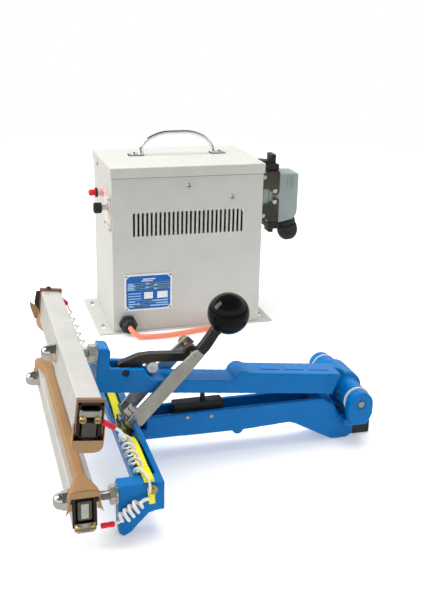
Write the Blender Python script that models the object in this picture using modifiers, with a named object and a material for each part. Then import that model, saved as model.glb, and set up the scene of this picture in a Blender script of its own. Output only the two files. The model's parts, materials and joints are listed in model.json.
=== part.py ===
"""Impulse heat sealer: a power unit in a sheet metal case and a pair of sealing tongs with a toggle lever.

Lengths are in millimetres and become metres as each mesh is made.  The world origin is the centre of the
case's underside, +X points along the case front from the controls to the connector, +Y points from the
front to the back and +Z points up.  The tongs have a frame of their own: X is measured from the hinge
axis (the jaws are at -X), Y from the middle of the arms and Z from the floor.
"""

import math

import bmesh
import bpy
from mathutils import Matrix, Vector

MM = 0.001
GAP = 0.3
FULL_TURN = math.tau

# Power unit case
CASE_W = 193.0
CASE_D = 132.0
CASE_H = 212.0
SHEET = 1.2
LID_LIP = 12.8
LID_OVERHANG = 1.7
BASE_T = 2.0
BASE_FLANGE = 19.0
BASE_FRONT = 3.0
LEFT = -CASE_W / 2
RIGHT = CASE_W / 2
FRONT = -CASE_D / 2
BACK = CASE_D / 2
VENT_COUNT = 26
VENT_PITCH = 5.55
VENT_W = 2.8
VENT_Z = (125.7, 155.2)
SCREW_POINTS = ((-0.2, 186.8), (55.7, 170.6))
HANDLE_X = 4.0
HANDLE_Y = 14.0
HANDLE_HALF = 48.0
HANDLE_RISE = 27.0

# Controls on the left side
KNOB_Y = FRONT + 15.0
KNOB_Z = 161.0
BUTTON_Y = FRONT + 55.5
BUTTON_Z = 171.0
PANEL_Y = (FRONT + 5.0, FRONT + 48.5)
PANEL_Z = (132.0, 178.0)

# Mains entry at the front
GLAND_X = -78.5
GLAND_Z = 12.5

# Output connector on the right side
PLUG_Z = 158.0
PLUG_BASE_HALF_Z = 28.5
PLUG_HALF_Y = 18.0
PLUG_TOP = 187.6
PLUG_BOTTOM = 121.2
PLUG_JOINT_X = RIGHT + 25.0
PLUG_END_X = RIGHT + 66.8
PLUG_GLAND = (RIGHT + 57.2, 122.6)
PLUG_GLAND_LEAN = 13.0
CHEEK_Y = (19.5, 21.1)
LATCH_PIVOT_X = RIGHT + 17.7
LATCH_PIVOT_DZ = 25.8
HOOK_X = RIGHT + 32.7
HOOK_DZ = 7.3

# Tongs: frame, hinge and toggle
TONGS_X = 82.5
TONGS_Y = FRONT - 313.0
HINGE_Z = 44.0
OPEN_ANGLE = 6.5
ARM_HALF = 14.0
ARM_WALL = 6.0
HINGE_R = 13.0
COLLAR_R = 17.5
COLLAR_Y = (6.0, 41.0)
BARREL_Y = (-20.0, 61.0)
WASHER_T = 1.5
CHEEK_T = 10.5
PIN_R = 3.6
HEAD_HALF = 127.0
HEAD_X = (-239.0, -216.0)
LUG_X = -254.0
LUG_T = 15.0
LOWER_TOP = 46.0
UPPER_BOTTOM = 47.0
LEVER_PIVOT = (-229.4, 66.0)
LEVER_THROW = 63.9
LINK_ANCHOR = (-228.0, 37.5)
PAST_CENTRE = 3.0
REST_AT = (-203.0, 67.9)
REST_R = 5.3
LEG_Y = 16.3
LEG_T = 2.8
LEG_HALF = 6.4
CROSS_S = 7.0
EYE_R = 4.4

# Jaws
JAW_X = -281.8
JAW_HALF = 9.75
JAW_LEN = 132.5
LOWER_BAR_Z = (18.0, 46.0)
UPPER_BAR_Z = (63.5, 94.0)
STUD_R = 4.0
LOWER_STUD_Z = 36.0
UPPER_STUD = (-3.0, 80.8)
SEAL_Z = 52.2

COLOURS = {
    "case_paint": ((0.56, 0.55, 0.50), 0.45, 0.0),
    "enamel_blue": ((0.0, 0.16, 0.52), 0.25, 0.0),
    "aluminium": ((0.78, 0.77, 0.74), 0.35, 1.0),
    "steel": ((0.55, 0.55, 0.54), 0.30, 1.0),
    "chrome": ((0.85, 0.85, 0.86), 0.08, 1.0),
    "brass": ((0.62, 0.45, 0.18), 0.30, 1.0),
    "copper": ((0.72, 0.40, 0.25), 0.35, 1.0),
    "core_steel": ((0.18, 0.18, 0.19), 0.50, 0.8),
    "lever_black": ((0.035, 0.030, 0.030), 0.30, 0.4),
    "ball_black": ((0.008, 0.008, 0.008), 0.06, 0.0),
    "plastic_black": ((0.02, 0.02, 0.02), 0.45, 0.0),
    "rubber": ((0.03, 0.03, 0.03), 0.75, 0.0),
    "nylon": ((0.80, 0.80, 0.76), 0.40, 0.0),
    "plate_blue": ((0.01, 0.15, 0.60), 0.35, 0.0),
    "label": ((0.80, 0.70, 0.66), 0.45, 0.0),
    "lamp_red": ((0.80, 0.02, 0.04), 0.20, 0.0),
    "lens_pink": ((0.85, 0.55, 0.50), 0.25, 0.0),
    "cord_orange": ((0.95, 0.22, 0.10), 0.45, 0.0),
    "hood_grey": ((0.36, 0.42, 0.40), 0.45, 0.0),
    "latch_grey": ((0.11, 0.10, 0.085), 0.40, 0.5),
    "ptfe_brown": ((0.36, 0.20, 0.09), 0.55, 0.0),
    "silicone": ((0.10, 0.06, 0.04), 0.70, 0.0),
    "sleeve_yellow": ((0.95, 0.85, 0.03), 0.45, 0.0),
    "board_green": ((0.01, 0.06, 0.025), 0.40, 0.0),
    "winding": ((0.55, 0.25, 0.10), 0.45, 0.3),
}


# ---------------------------------------------------------------- scene and materials

def clear_scene():
    for old in list(bpy.data.objects):
        bpy.data.objects.remove(old, do_unlink=True)


def new_collection(name):
    collection = bpy.data.collections.new(name)
    bpy.context.scene.collection.children.link(collection)
    return collection


def material(name):
    found = bpy.data.materials.get(name)
    if found:
        return found
    colour, roughness, metallic = COLOURS[name]
    made = bpy.data.materials.new(name)
    made.use_nodes = True
    shader = made.node_tree.nodes["Principled BSDF"]
    shader.inputs["Base Color"].default_value = (*colour, 1.0)
    shader.inputs["Roughness"].default_value = roughness
    shader.inputs["Metallic"].default_value = metallic
    return made


# ---------------------------------------------------------------- frames

class Frame:
    """An empty on a joint axis, and where the zero of the lengths given for its pieces is."""

    def __init__(self, name, origin, parent=None, turn=0.0):
        self.empty = bpy.data.objects.new(name, None)
        PARTS.objects.link(self.empty)
        self.origin = Vector(origin) * MM
        if parent:
            self.empty.parent = parent.empty
            self.empty.location = self.origin - parent.child_offset()
        else:
            self.empty.location = self.origin
        self.zeroed = parent is not None
        self.empty.rotation_euler = (0.0, math.radians(turn), 0.0)

    def child_offset(self):
        return self.origin if self.zeroed else Vector((0.0, 0.0, 0.0))

    def hold(self, obj):
        obj.parent = self.empty
        obj.location = Vector(obj.location) - self.child_offset()


# ---------------------------------------------------------------- shapes

def mesh_object(name, mesh, location=(0.0, 0.0, 0.0), rotation=(0.0, 0.0, 0.0), frame=None):
    obj = bpy.data.objects.new(name, mesh)
    obj.location = Vector(location) * MM
    obj.rotation_euler = rotation
    PARTS.objects.link(obj)
    if frame:
        frame.hold(obj)
    return obj


def box(name, low, high, frame=None):
    """A box between two corners."""
    low, high = Vector(low), Vector(high)
    form = bmesh.new()
    bmesh.ops.create_cube(form, size=1.0)
    bmesh.ops.scale(form, vec=(high - low) * MM, verts=form.verts)
    mesh = bpy.data.meshes.new(name)
    form.to_mesh(mesh)
    form.free()
    return mesh_object(name, mesh, (low + high) / 2, frame=frame)


AXIS_TURN = {
    "Z": (0.0, 0.0, 0.0),
    "X": (0.0, math.pi / 2, 0.0),
    "-X": (0.0, -math.pi / 2, 0.0),
    "Y": (-math.pi / 2, 0.0, 0.0),
    "-Y": (math.pi / 2, 0.0, 0.0),
    "-Z": (math.pi, 0.0, 0.0),
}


def cylinder(name, radius, start, length, axis="Z", sides=32, frame=None):
    """A cylinder that begins at a point and runs along an axis."""
    form = bmesh.new()
    bmesh.ops.create_cone(form, cap_ends=True, segments=sides, radius1=radius * MM, radius2=radius * MM,
                          depth=length * MM)
    bmesh.ops.translate(form, vec=(0.0, 0.0, length * MM / 2), verts=form.verts)
    mesh = bpy.data.meshes.new(name)
    form.to_mesh(mesh)
    form.free()
    return mesh_object(name, mesh, start, AXIS_TURN[axis], frame)


def turned(name, profile, start, axis="Z", sides=32, frame=None):
    """A turned piece: profile lists (radius, height) down the outer side, from its top to its bottom."""
    mesh = bpy.data.meshes.new(name)
    points = [(r * MM, 0.0, h * MM) for r, h in profile]
    mesh.from_pydata(points, [(i, i + 1) for i in range(len(points) - 1)], [])
    obj = mesh_object(name, mesh, start, AXIS_TURN[axis], frame)
    screw = obj.modifiers.new("turn", "SCREW")
    screw.steps = sides
    screw.render_steps = sides
    screw.use_merge_vertices = True
    screw.merge_threshold = 0.000001
    screw.use_normal_calculate = False
    return obj


def ring_turned(name, profile, start, axis="Z", sides=24, frame=None):
    """A turned piece with a bore: profile is a closed loop of (radius, height)."""
    mesh = bpy.data.meshes.new(name)
    points = [(r * MM, 0.0, h * MM) for r, h in profile]
    mesh.from_pydata(points, [(i, (i + 1) % len(points)) for i in range(len(points))], [])
    obj = mesh_object(name, mesh, start, AXIS_TURN[axis], frame)
    screw = obj.modifiers.new("turn", "SCREW")
    screw.steps = sides
    screw.render_steps = sides
    screw.use_merge_vertices = True
    screw.merge_threshold = 0.000001
    return obj


def curve_to_mesh(name, curve, location, rotation, frame):
    """The mesh of a curve, with its caps welded on."""
    rough = bpy.data.objects.new(name + "_curve", curve)
    PARTS.objects.link(rough)
    bpy.context.view_layer.update()
    mesh = bpy.data.meshes.new_from_object(rough.evaluated_get(bpy.context.evaluated_depsgraph_get()))
    bpy.data.objects.remove(rough, do_unlink=True)
    bpy.data.curves.remove(curve)
    form = bmesh.new()
    form.from_mesh(mesh)
    bmesh.ops.remove_doubles(form, verts=form.verts, dist=0.00001)
    bmesh.ops.recalc_face_normals(form, faces=form.faces)
    form.to_mesh(mesh)
    form.free()
    mesh.name = name
    return mesh_object(name, mesh, location, rotation, frame)


def plate(name, outline, low, high, axis="Y", frame=None):
    """A flat outline with a thickness.  For axis Y the outline is (x, z), for X (y, z), for Z (x, y)."""
    curve = bpy.data.curves.new(name, "CURVE")
    curve.dimensions = "2D"
    curve.fill_mode = "BOTH"
    curve.extrude = (high - low) / 2 * MM
    spline = curve.splines.new("POLY")
    spline.points.add(len(outline) - 1)
    for point, (u, v) in zip(spline.points, outline):
        point.co = (u * MM, v * MM, 0.0, 1.0)
    spline.use_cyclic_u = True
    middle = (low + high) / 2
    if axis == "Y":
        return curve_to_mesh(name, curve, (0.0, middle, 0.0), (math.pi / 2, 0.0, 0.0), frame)
    if axis == "X":
        return curve_to_mesh(name, curve, (middle, 0.0, 0.0), (math.pi / 2, 0.0, math.pi / 2), frame)
    return curve_to_mesh(name, curve, (0.0, 0.0, middle), (0.0, 0.0, 0.0), frame)


def tube(name, points, radius, frame=None, resolution=2):
    """A round wire or rod through the points."""
    curve = bpy.data.curves.new(name, "CURVE")
    curve.dimensions = "3D"
    curve.bevel_depth = radius * MM
    curve.bevel_resolution = resolution
    curve.use_fill_caps = True
    spline = curve.splines.new("POLY")
    spline.points.add(len(points) - 1)
    for point, place in zip(spline.points, points):
        point.co = (*(Vector(place) * MM), 1.0)
    return curve_to_mesh(name, curve, (0.0, 0.0, 0.0), (0.0, 0.0, 0.0), frame)


def arc(centre, radius, start, end, steps):
    """Points on an arc in a plane, angles in degrees."""
    turns = [math.radians(start + (end - start) * i / steps) for i in range(steps + 1)]
    return [(centre[0] + radius * math.cos(t), centre[1] + radius * math.sin(t)) for t in turns]


def smooth_path(points, steps):
    """A Catmull-Rom path through the points."""
    points = [Vector(p) for p in points]
    ends = [2 * points[0] - points[1], *points, 2 * points[-1] - points[-2]]
    path = []
    for a, b, c, d in zip(ends, ends[1:], ends[2:], ends[3:]):
        for i in range(steps):
            t = i / steps
            path.append(0.5 * (2 * b + (c - a) * t + (2 * a - 5 * b + 4 * c - d) * t ** 2
                               + (3 * b - a - 3 * c + d) * t ** 3))
    return [*path, points[-1]]


def bar_outline(a, b, half_a, half_b, steps=6):
    """The outline of a bar with round ends between two points in a plane."""
    a, b = Vector(a), Vector(b)
    lean = math.degrees(math.atan2(b.y - a.y, b.x - a.x))
    return [*arc(b, half_b, lean - 90, lean + 90, steps), *arc(a, half_a, lean + 90, lean + 270, steps)]


# ---------------------------------------------------------------- joining and cutting

def guide(obj):
    """Take an object out of the model: it only shapes another."""
    PARTS.objects.unlink(obj)
    CUTTERS.objects.link(obj)
    obj.hide_render = True
    obj.display_type = "WIRE"


def combine(obj, others, operation):
    for other in others:
        guide(other)
        change = obj.modifiers.new(other.name, "BOOLEAN")
        change.operation = operation
        change.object = other
        change.solver = "EXACT"
    return obj


def join(obj, *others):
    return combine(obj, others, "UNION")


def cut(obj, *others):
    return combine(obj, others, "DIFFERENCE")


def round_edges(obj, width, segments=2, angle=40.0):
    bevel = obj.modifiers.new("round", "BEVEL")
    bevel.width = width * MM
    bevel.segments = segments
    bevel.limit_method = "ANGLE"
    bevel.angle_limit = math.radians(angle)
    bevel.use_clamp_overlap = True
    return obj


def paint(obj, colour):
    obj.data.materials.clear()
    obj.data.materials.append(material(colour))
    for face in obj.data.polygons:
        face.use_smooth = False
    return obj


def merged_boxes(name, spans):
    """Separate boxes in one mesh, as a single cutter."""
    form = bmesh.new()
    for low, high in spans:
        low, high = Vector(low) * MM, Vector(high) * MM
        made = bmesh.ops.create_cube(form, size=1.0)["verts"]
        bmesh.ops.scale(form, vec=high - low, verts=made)
        bmesh.ops.translate(form, vec=(low + high) / 2, verts=made)
    mesh = bpy.data.meshes.new(name)
    form.to_mesh(mesh)
    form.free()
    return mesh_object(name, mesh)


# ---------------------------------------------------------------- power unit: case

def base_plate():
    half_x = CASE_W / 2 + BASE_FLANGE
    low = (-half_x, FRONT - BASE_FRONT, 0.0)
    high = (half_x, BACK + BASE_FRONT, BASE_T)
    slots = [((sx * (half_x - 9.5) - 2.6, sy * 45.0 - 6.0, -1.0), (sx * (half_x - 9.5) + 2.6, sy * 45.0 + 6.0, 4.0))
             for sx in (-1, 1) for sy in (-1, 1)]
    plate_body = cut(box("base_plate", low, high), merged_boxes("base_slots", slots))
    return paint(plate_body, "case_paint")


def vent_spans(y):
    first = -(VENT_COUNT - 1) * VENT_PITCH / 2
    spans = []
    for i in range(VENT_COUNT):
        x = first + i * VENT_PITCH
        spans.append(((x - VENT_W / 2, y - 5.0, VENT_Z[0]), (x + VENT_W / 2, y + 5.0, VENT_Z[1])))
    return spans


def housing():
    low_z, high_z = BASE_T + GAP, CASE_H - SHEET - GAP
    shell = box("housing", (LEFT, FRONT, low_z), (RIGHT, BACK, high_z))
    hollow = box("housing_hollow", (LEFT + SHEET, FRONT + SHEET, low_z - 9), (RIGHT - SHEET, BACK - SHEET, high_z + 9))
    vents = merged_boxes("housing_vents", vent_spans(FRONT))
    holes = [cylinder("hole_gland", 7.0, (GLAND_X, FRONT - 5, GLAND_Z), 12, "Y", 20),
             cylinder("hole_knob", 4.2, (LEFT - 5, KNOB_Y, KNOB_Z), 12, "X", 16),
             cylinder("hole_button", 4.6, (LEFT - 5, BUTTON_Y, BUTTON_Z), 12, "X", 16),
             box("hole_connector", (RIGHT - 5, -16.0, PLUG_Z - 27), (RIGHT + 5, 16.0, PLUG_Z + 27))]
    for i, (x, z) in enumerate(SCREW_POINTS):
        holes.append(cylinder(f"hole_screw_{i}", 2.3, (x, FRONT - 5, z), 12, "Y", 12))
    return paint(cut(shell, hollow, vents, *holes), "case_paint")


def lid():
    out = LID_OVERHANG
    low_z = CASE_H - LID_LIP
    shell = box("lid", (LEFT - out, FRONT - out, low_z), (RIGHT + out, BACK + out, CASE_H))
    round_edges(shell, 0.8, 1)
    inner = out - SHEET
    hollow = box("lid_hollow", (LEFT - inner, FRONT - inner, low_z - 9), (RIGHT + inner, BACK + inner, CASE_H - SHEET))
    return paint(cut(shell, hollow), "case_paint")


def carry_handle():
    top = CASE_H + GAP
    inner = HANDLE_HALF
    leg = [(inner, top + 1.0), (inner - 1.0, top + 7.0), (inner - 3.0, top + 12.5), (inner - 12.5, top + 21.0)]
    crown = [(inner - 29.0, top + HANDLE_RISE), (0.0, top + HANDLE_RISE + 0.8)]
    half = [(x, z) for x, z in leg + crown]
    path = [(HANDLE_X - x, HANDLE_Y, z) for x, z in half] + [(HANDLE_X + x, HANDLE_Y, z) for x, z in reversed(half[:-1])]
    handle = tube("carry_handle", smooth_path(path, 4), 2.5)
    feet = [box(f"handle_foot_{side}", (HANDLE_X + side * (inner + 6.5) - 9.0, HANDLE_Y - 6.0, top),
                (HANDLE_X + side * (inner + 6.5) + 9.0, HANDLE_Y + 6.0, top + 2.0)) for side in (-1, 1)]
    return paint(join(handle, *feet), "chrome")


def nameplate():
    x0, x1, z0, z1 = LEFT + 14.0, LEFT + 75.5, 29.0, 77.3
    body = box("nameplate", (x0, FRONT - GAP - 0.8, z0), (x1, FRONT - GAP, z1))
    return paint(body, "plate_blue")


# ---------------------------------------------------------------- power unit: controls

def control_plate():
    low = (LEFT - GAP - 1.2, PANEL_Y[0], PANEL_Z[0])
    high = (LEFT - GAP, PANEL_Y[1], PANEL_Z[1])
    body = box("control_plate", low, high)
    return paint(cut(body, cylinder("plate_knob_hole", 4.2, (LEFT - 5, KNOB_Y, KNOB_Z), 12, "X", 16)), "label")


def knob_parts():
    """The sleeve round the potentiometer's shaft, and the ribbed cap that is turned."""
    face = LEFT - 2 * GAP - 1.2
    sleeve = cylinder("knob_collar", 3.8, (face, KNOB_Y, KNOB_Z), 8.3, "-X", 24)
    join(sleeve, cylinder("collar_flange", 5.6, (face, KNOB_Y, KNOB_Z), 1.4, "-X", 24),
         cylinder("collar_shaft", 2.6, (face - 1, KNOB_Y, KNOB_Z), 13.0, "-X", 16))
    ribs = 16
    outline = []
    for i in range(ribs):
        turn = FULL_TURN * i / ribs
        for radius, share in ((6.8, 0.0), (6.8, 0.5), (6.2, 0.6), (6.2, 0.9)):
            angle = turn + FULL_TURN * share / ribs
            outline.append((KNOB_Y + radius * math.cos(angle), KNOB_Z + radius * math.sin(angle)))
    cap = plate("timer_knob", outline, face - 18.2, face - 8.3 - GAP, "X")
    cut(cap, cylinder("cap_bore", 2.6 + GAP, (face - 4, KNOB_Y, KNOB_Z), 11.0, "-X", 16))
    return paint(sleeve, "aluminium"), paint(cap, "plastic_black")


def button_parts():
    """A lamp button: the switch body in the case, a lens neck with its ring, and the red cap."""
    face = LEFT - GAP
    body = box("button_switch", (LEFT + SHEET + GAP, BUTTON_Y - 8, BUTTON_Z - 8),
               (LEFT + SHEET + 24, BUTTON_Y + 8, BUTTON_Z + 8))
    neck = [(4.4, 11.0), (5.6, 11.0), (6.0, 10.4), (6.0, 9.0), (5.6, 8.5), (5.2, 8.5), (5.2, 0.0), (4.4, 0.0)]
    bezel = ring_turned("button_bezel", neck, (face, BUTTON_Y, BUTTON_Z), "-X", 24)
    cap_profile = [(0.0, 19.4), (2.6, 19.1), (3.7, 18.0), (4.1, 16.4), (4.1, 3.0), (0.0, 3.0)]
    cap = turned("button_cap", cap_profile, (face, BUTTON_Y, BUTTON_Z), "-X", 24)
    return paint(body, "plastic_black"), paint(bezel, "lens_pink"), paint(cap, "lamp_red")


# ---------------------------------------------------------------- power unit: mains entry

def mains_entry():
    start = (GLAND_X, FRONT - GAP, GLAND_Z)
    gland_profile = [(3.6, 17.0), (7.0, 17.0), (9.0, 14.0), (9.6, 8.0), (10.4, 7.6), (10.4, 0.0),
                     (6.6, 0.0), (6.6, -9.0), (3.6, -9.0)]
    gland = ring_turned("cable_gland", gland_profile, start, "-Y", 28)
    floor = 3.4
    route = [(GLAND_X, FRONT + 25, GLAND_Z), (GLAND_X, FRONT, GLAND_Z), (GLAND_X, FRONT - 17.5, GLAND_Z),
             (GLAND_X + 2.5, FRONT - 23.5, GLAND_Z - 3.0), (GLAND_X + 9.0, FRONT - 27.0, floor + 1.2),
             (GLAND_X + 20.0, FRONT - 28.0, floor), (-30.0, FRONT - 28.0, floor), (2.0, FRONT - 21.5, floor),
             (32.0, FRONT - 15.0, floor)]
    cord = tube("mains_cord", smooth_path(route, 3), 3.2)
    return paint(gland, "plastic_black"), paint(cord, "cord_orange")


# ---------------------------------------------------------------- power unit: inside

def inside():
    """The transformer that feeds the heating bands, and the timer board with what is soldered to it."""
    floor = BASE_T + GAP
    core = box("transformer_core", (-16.0, -22.0, floor), (60.0, 28.0, floor + 83.0))
    windows = [box("core_window_a", (-3.0, -40.0, 22.0), (10.0, 40.0, 70.0)),
               box("core_window_b", (34.0, -40.0, 22.0), (47.0, 40.0, 70.0))]
    cut(core, *windows)
    coil = box("transformer_coil", (-2.4, -34.0, 22.6), (46.4, 40.0, 69.4))
    round_edges(coil, 5.0, 2)
    cut(coil, box("coil_passage", (9.7, -22.3, 10.0), (34.3, 28.3, 90.0)))
    board_x = LEFT + 19.0
    board = box("timer_board", (board_x, FRONT + 4.0, 122.0), (board_x + 1.6, FRONT + 42.0, 194.0))
    relay = box("board_relay", (board_x + 1.5, FRONT + 9.0, 126.0), (board_x + 17.0, FRONT + 36.0, 146.0))
    control = cylinder("board_potentiometer", 8.5, (LEFT + SHEET + GAP, KNOB_Y, KNOB_Z), 18.0, "X", 24)
    join(board, relay, control)
    return paint(core, "core_steel"), paint(coil, "winding"), paint(board, "board_green")


# ---------------------------------------------------------------- power unit: output connector

def connector():
    base_x = RIGHT + 2.0
    body = box("connector_base", (base_x, -20.0, PLUG_Z - 40), (base_x + 4, 20.0, PLUG_Z + 40))
    collar = box("base_collar", (base_x, -PLUG_HALF_Y, PLUG_Z - PLUG_BASE_HALF_Z),
                 (PLUG_JOINT_X - GAP, PLUG_HALF_Y, PLUG_Z + PLUG_BASE_HALF_Z))
    pegs = [cylinder(f"base_peg_{i}", 3.0, (LATCH_PIVOT_X, -CHEEK_Y[1] - 0.4, PLUG_Z + s * LATCH_PIVOT_DZ),
                     2 * CHEEK_Y[1] + 0.8, "Y", 16) for i, s in enumerate((-1, 1))]
    join(body, collar, *pegs)
    cut(body, box("base_hollow", (base_x - 5, -14.5, PLUG_Z - 24), (PLUG_JOINT_X + 5, 14.5, PLUG_Z + 24)))
    insert = box("connector_insert", (base_x, -14.0, PLUG_Z - 23.5), (PLUG_JOINT_X - 6, 14.0, PLUG_Z + 23.5))
    right, joint = PLUG_END_X, PLUG_JOINT_X
    outline = [(joint, PLUG_BOTTOM), (right - 24.2, PLUG_BOTTOM), (right - 5.7, PLUG_BOTTOM + 4.3),
               (right - 1.8, PLUG_BOTTOM + 8.5), (right, PLUG_BOTTOM + 15.0), (right, PLUG_TOP - 2.0),
               (right - 2.0, PLUG_TOP), (joint, PLUG_TOP)]
    hood = plate("plug_hood", outline, -PLUG_HALF_Y, PLUG_HALF_Y)
    round_edges(hood, 1.5, 2, 50.0)
    hood_pegs = [cylinder(f"hood_peg_{i}", 2.6, (HOOK_X, -CHEEK_Y[1] - 0.4, PLUG_Z + s * HOOK_DZ),
                          2 * CHEEK_Y[1] + 0.8, "Y", 16) for i, s in enumerate((-1, 1))]
    join(hood, *hood_pegs)
    lean = math.radians(-PLUG_GLAND_LEAN)
    port = cylinder("hood_port", 8.8, (PLUG_GLAND[0], 0.0, PLUG_GLAND[1]), 40.0, "Z", 20)
    port.location -= Matrix.Rotation(lean, 3, "Y") @ Vector((0.0, 0.0, 20.0)) * MM
    port.rotation_euler = (0.0, lean, 0.0)
    cut(hood, box("hood_hollow", (joint - 5, -14.0, 132.0), (right - 6, 14.0, PLUG_TOP - 5)), port)
    profile = [(4.2, 10.0), (8.1, 10.0), (8.1, -0.3), (12.8, -0.3), (12.8, -6.0), (11.8, -6.5), (11.8, -7.6),
               (13.8, -8.3), (13.8, -18.0), (12.4, -22.5), (8.0, -28.0), (4.2, -28.0)]
    gland = ring_turned("hood_gland", profile, (PLUG_GLAND[0], 0.0, PLUG_GLAND[1] - 1.2), "Z", 28)
    gland.rotation_euler = (0.0, lean, 0.0)
    return (paint(body, "hood_grey"), paint(insert, "plastic_black"),
            paint(hood, "hood_grey"), paint(gland, "plastic_black"))


def latch(name, side):
    """A locking lever: two cheeks on the base's pegs, hooked round the hood's pegs, and a bridge with a grip."""
    pivot_z = PLUG_Z + side * LATCH_PIVOT_DZ
    frame = Frame(name + "_axis", (LATCH_PIVOT_X, 0.0, pivot_z))

    def at(x, height):
        """World X, and height above (or for the lower lever below) the plug's middle."""
        return (x - LATCH_PIVOT_X, side * (height - LATCH_PIVOT_DZ))

    bridge_x = (LATCH_PIVOT_X + 6.8, RIGHT + 39.0)
    bridge = (PLUG_TOP + 0.8 - PLUG_Z, PLUG_TOP + 3.2 - PLUG_Z) if side > 0 else (PLUG_Z - PLUG_BOTTOM + 0.8,
                                                                                  PLUG_Z - PLUG_BOTTOM + 3.2)
    top = bridge[1]
    corner = [at(RIGHT + 13.0, 27.0), at(RIGHT + 17.5, 31.0)] if side > 0 else [at(RIGHT + 13.0, 30.6)]
    outline = [at(RIGHT + 13.0, 10.2), *corner, at(bridge_x[0], 31.2), at(bridge_x[0], top), at(bridge_x[1], top),
               at(RIGHT + 39.0, 5.2), at(RIGHT + 37.2, 2.6), at(RIGHT + 34.2, 1.4), at(RIGHT + 30.0, 1.6),
               at(RIGHT + 26.4, 3.6), at(RIGHT + 26.4, 10.2)]
    cheeks = [plate(f"{name}_cheek_{i}", outline, *ys) for i, ys in enumerate(((-CHEEK_Y[1], -CHEEK_Y[0]), CHEEK_Y))]
    low, high = sorted((at(0.0, bridge[0])[1], at(0.0, bridge[1] - 0.05)[1]))
    strap = box(f"{name}_bridge", (bridge_x[0] - LATCH_PIVOT_X + 0.3, -CHEEK_Y[1] + 0.05, low),
                (bridge_x[1] - LATCH_PIVOT_X - 0.05, CHEEK_Y[1] - 0.05, high))
    reach = math.dist((LATCH_PIVOT_X, LATCH_PIVOT_DZ), (HOOK_X, HOOK_DZ))
    lean = math.degrees(math.atan2(HOOK_DZ - LATCH_PIVOT_DZ, HOOK_X - LATCH_PIVOT_X))
    width = 2.6 + GAP
    mouth = [*arc((0.0, 0.0), reach + width, lean, lean - 40, 8), *reversed(arc((0.0, 0.0), reach - width, lean, lean - 40, 8))]
    mouth = [(x, side * z) for x, z in mouth]
    holes = [cylinder(f"{name}_pivot_hole", 3.0 + GAP, (0.0, -30.0, 0.0), 60.0, "Y", 16),
             cylinder(f"{name}_hook_hole", width + 0.02, (*at(HOOK_X, 0.0)[:1], -30.0, at(0.0, HOOK_DZ)[1]), 60.0, "Y", 20),
             plate(f"{name}_hook_mouth", mouth, -30.0, 30.0)]
    for piece in (*cheeks, strap, *holes):
        piece.parent = frame.empty
    body = cheeks[0]
    body.name = name
    body.data.name = name
    join(body, cheeks[1], strap)
    cut(body, *holes)
    shift = RIGHT - LATCH_PIVOT_X
    half_y = 17.0 if side > 0 else CHEEK_Y[1] + 1.6
    low, high = sorted((at(0.0, top + GAP if side > 0 else top - 5.5)[1], at(0.0, top + (9.0 if side > 0 else 4.0))[1]))
    grip = box(name + "_grip", (shift + 25.0, -half_y, low), (shift + 39.0, half_y, high))
    round_edges(grip, 0.8, 1)
    low, high = sorted((at(0.0, top + 2.0)[1], at(0.0, top + (20.5 if side > 0 else 12.0))[1]))
    extra = [box(f"{name}_tab", (shift + 30.5, -9.5, low), (shift + 36.5, 9.5, high))]
    if side > 0:
        fin = [at(RIGHT + 17.5, top + 12.0), at(RIGHT + 17.5, top + 13.0), at(RIGHT + 32.0, top + 11.5),
               at(RIGHT + 32.0, top + 6.0), at(RIGHT + 26.0, top + 6.0)]
        extra.append(plate(f"{name}_fin", fin, -9.0, 9.0))
    room = [] if side > 0 else [box(f"{name}_room", (shift + 10.0, -CHEEK_Y[1] - GAP, at(0.0, top + GAP)[1]),
                                    (shift + 60.0, CHEEK_Y[1] + GAP, 30.0))]
    for piece in (grip, *extra, *room):
        piece.parent = frame.empty
    join(grip, *extra)
    cut(grip, *room)
    return paint(body, "latch_grey"), paint(grip, "plastic_black")


# ---------------------------------------------------------------- tongs: geometry of the toggle

def turned_about(point, centre, degrees):
    """A point in the XZ plane turned anticlockwise, seen with X to the right and Z up."""
    t = math.radians(degrees)
    dx, dz = point[0] - centre[0], point[1] - centre[1]
    return (centre[0] + dx * math.cos(t) - dz * math.sin(t), centre[1] + dx * math.sin(t) + dz * math.cos(t))


def open_lever_pivot():
    return turned_about(LEVER_PIVOT, (0.0, HINGE_Z), -OPEN_ANGLE)


def link_length():
    """The link's length: with the jaws shut the lever is just past the line through its two pivots."""
    shut = math.dist(LEVER_PIVOT, LINK_ANCHOR)
    past = math.cos(math.radians(PAST_CENTRE))
    return math.sqrt(shut ** 2 + LEVER_THROW ** 2 + 2 * shut * LEVER_THROW * past)


def open_link_pin():
    """Where lever and link meet with the jaws open."""
    pivot = open_lever_pivot()
    reach = math.dist(pivot, LINK_ANCHOR)
    cosine = (link_length() ** 2 - reach ** 2 - LEVER_THROW ** 2) / (2 * reach * LEVER_THROW)
    lean = math.atan2(pivot[1] - LINK_ANCHOR[1], pivot[0] - LINK_ANCHOR[0]) - math.acos(cosine)
    return (pivot[0] + LEVER_THROW * math.cos(lean), pivot[1] + LEVER_THROW * math.sin(lean))


# ---------------------------------------------------------------- tongs: arms

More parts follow.
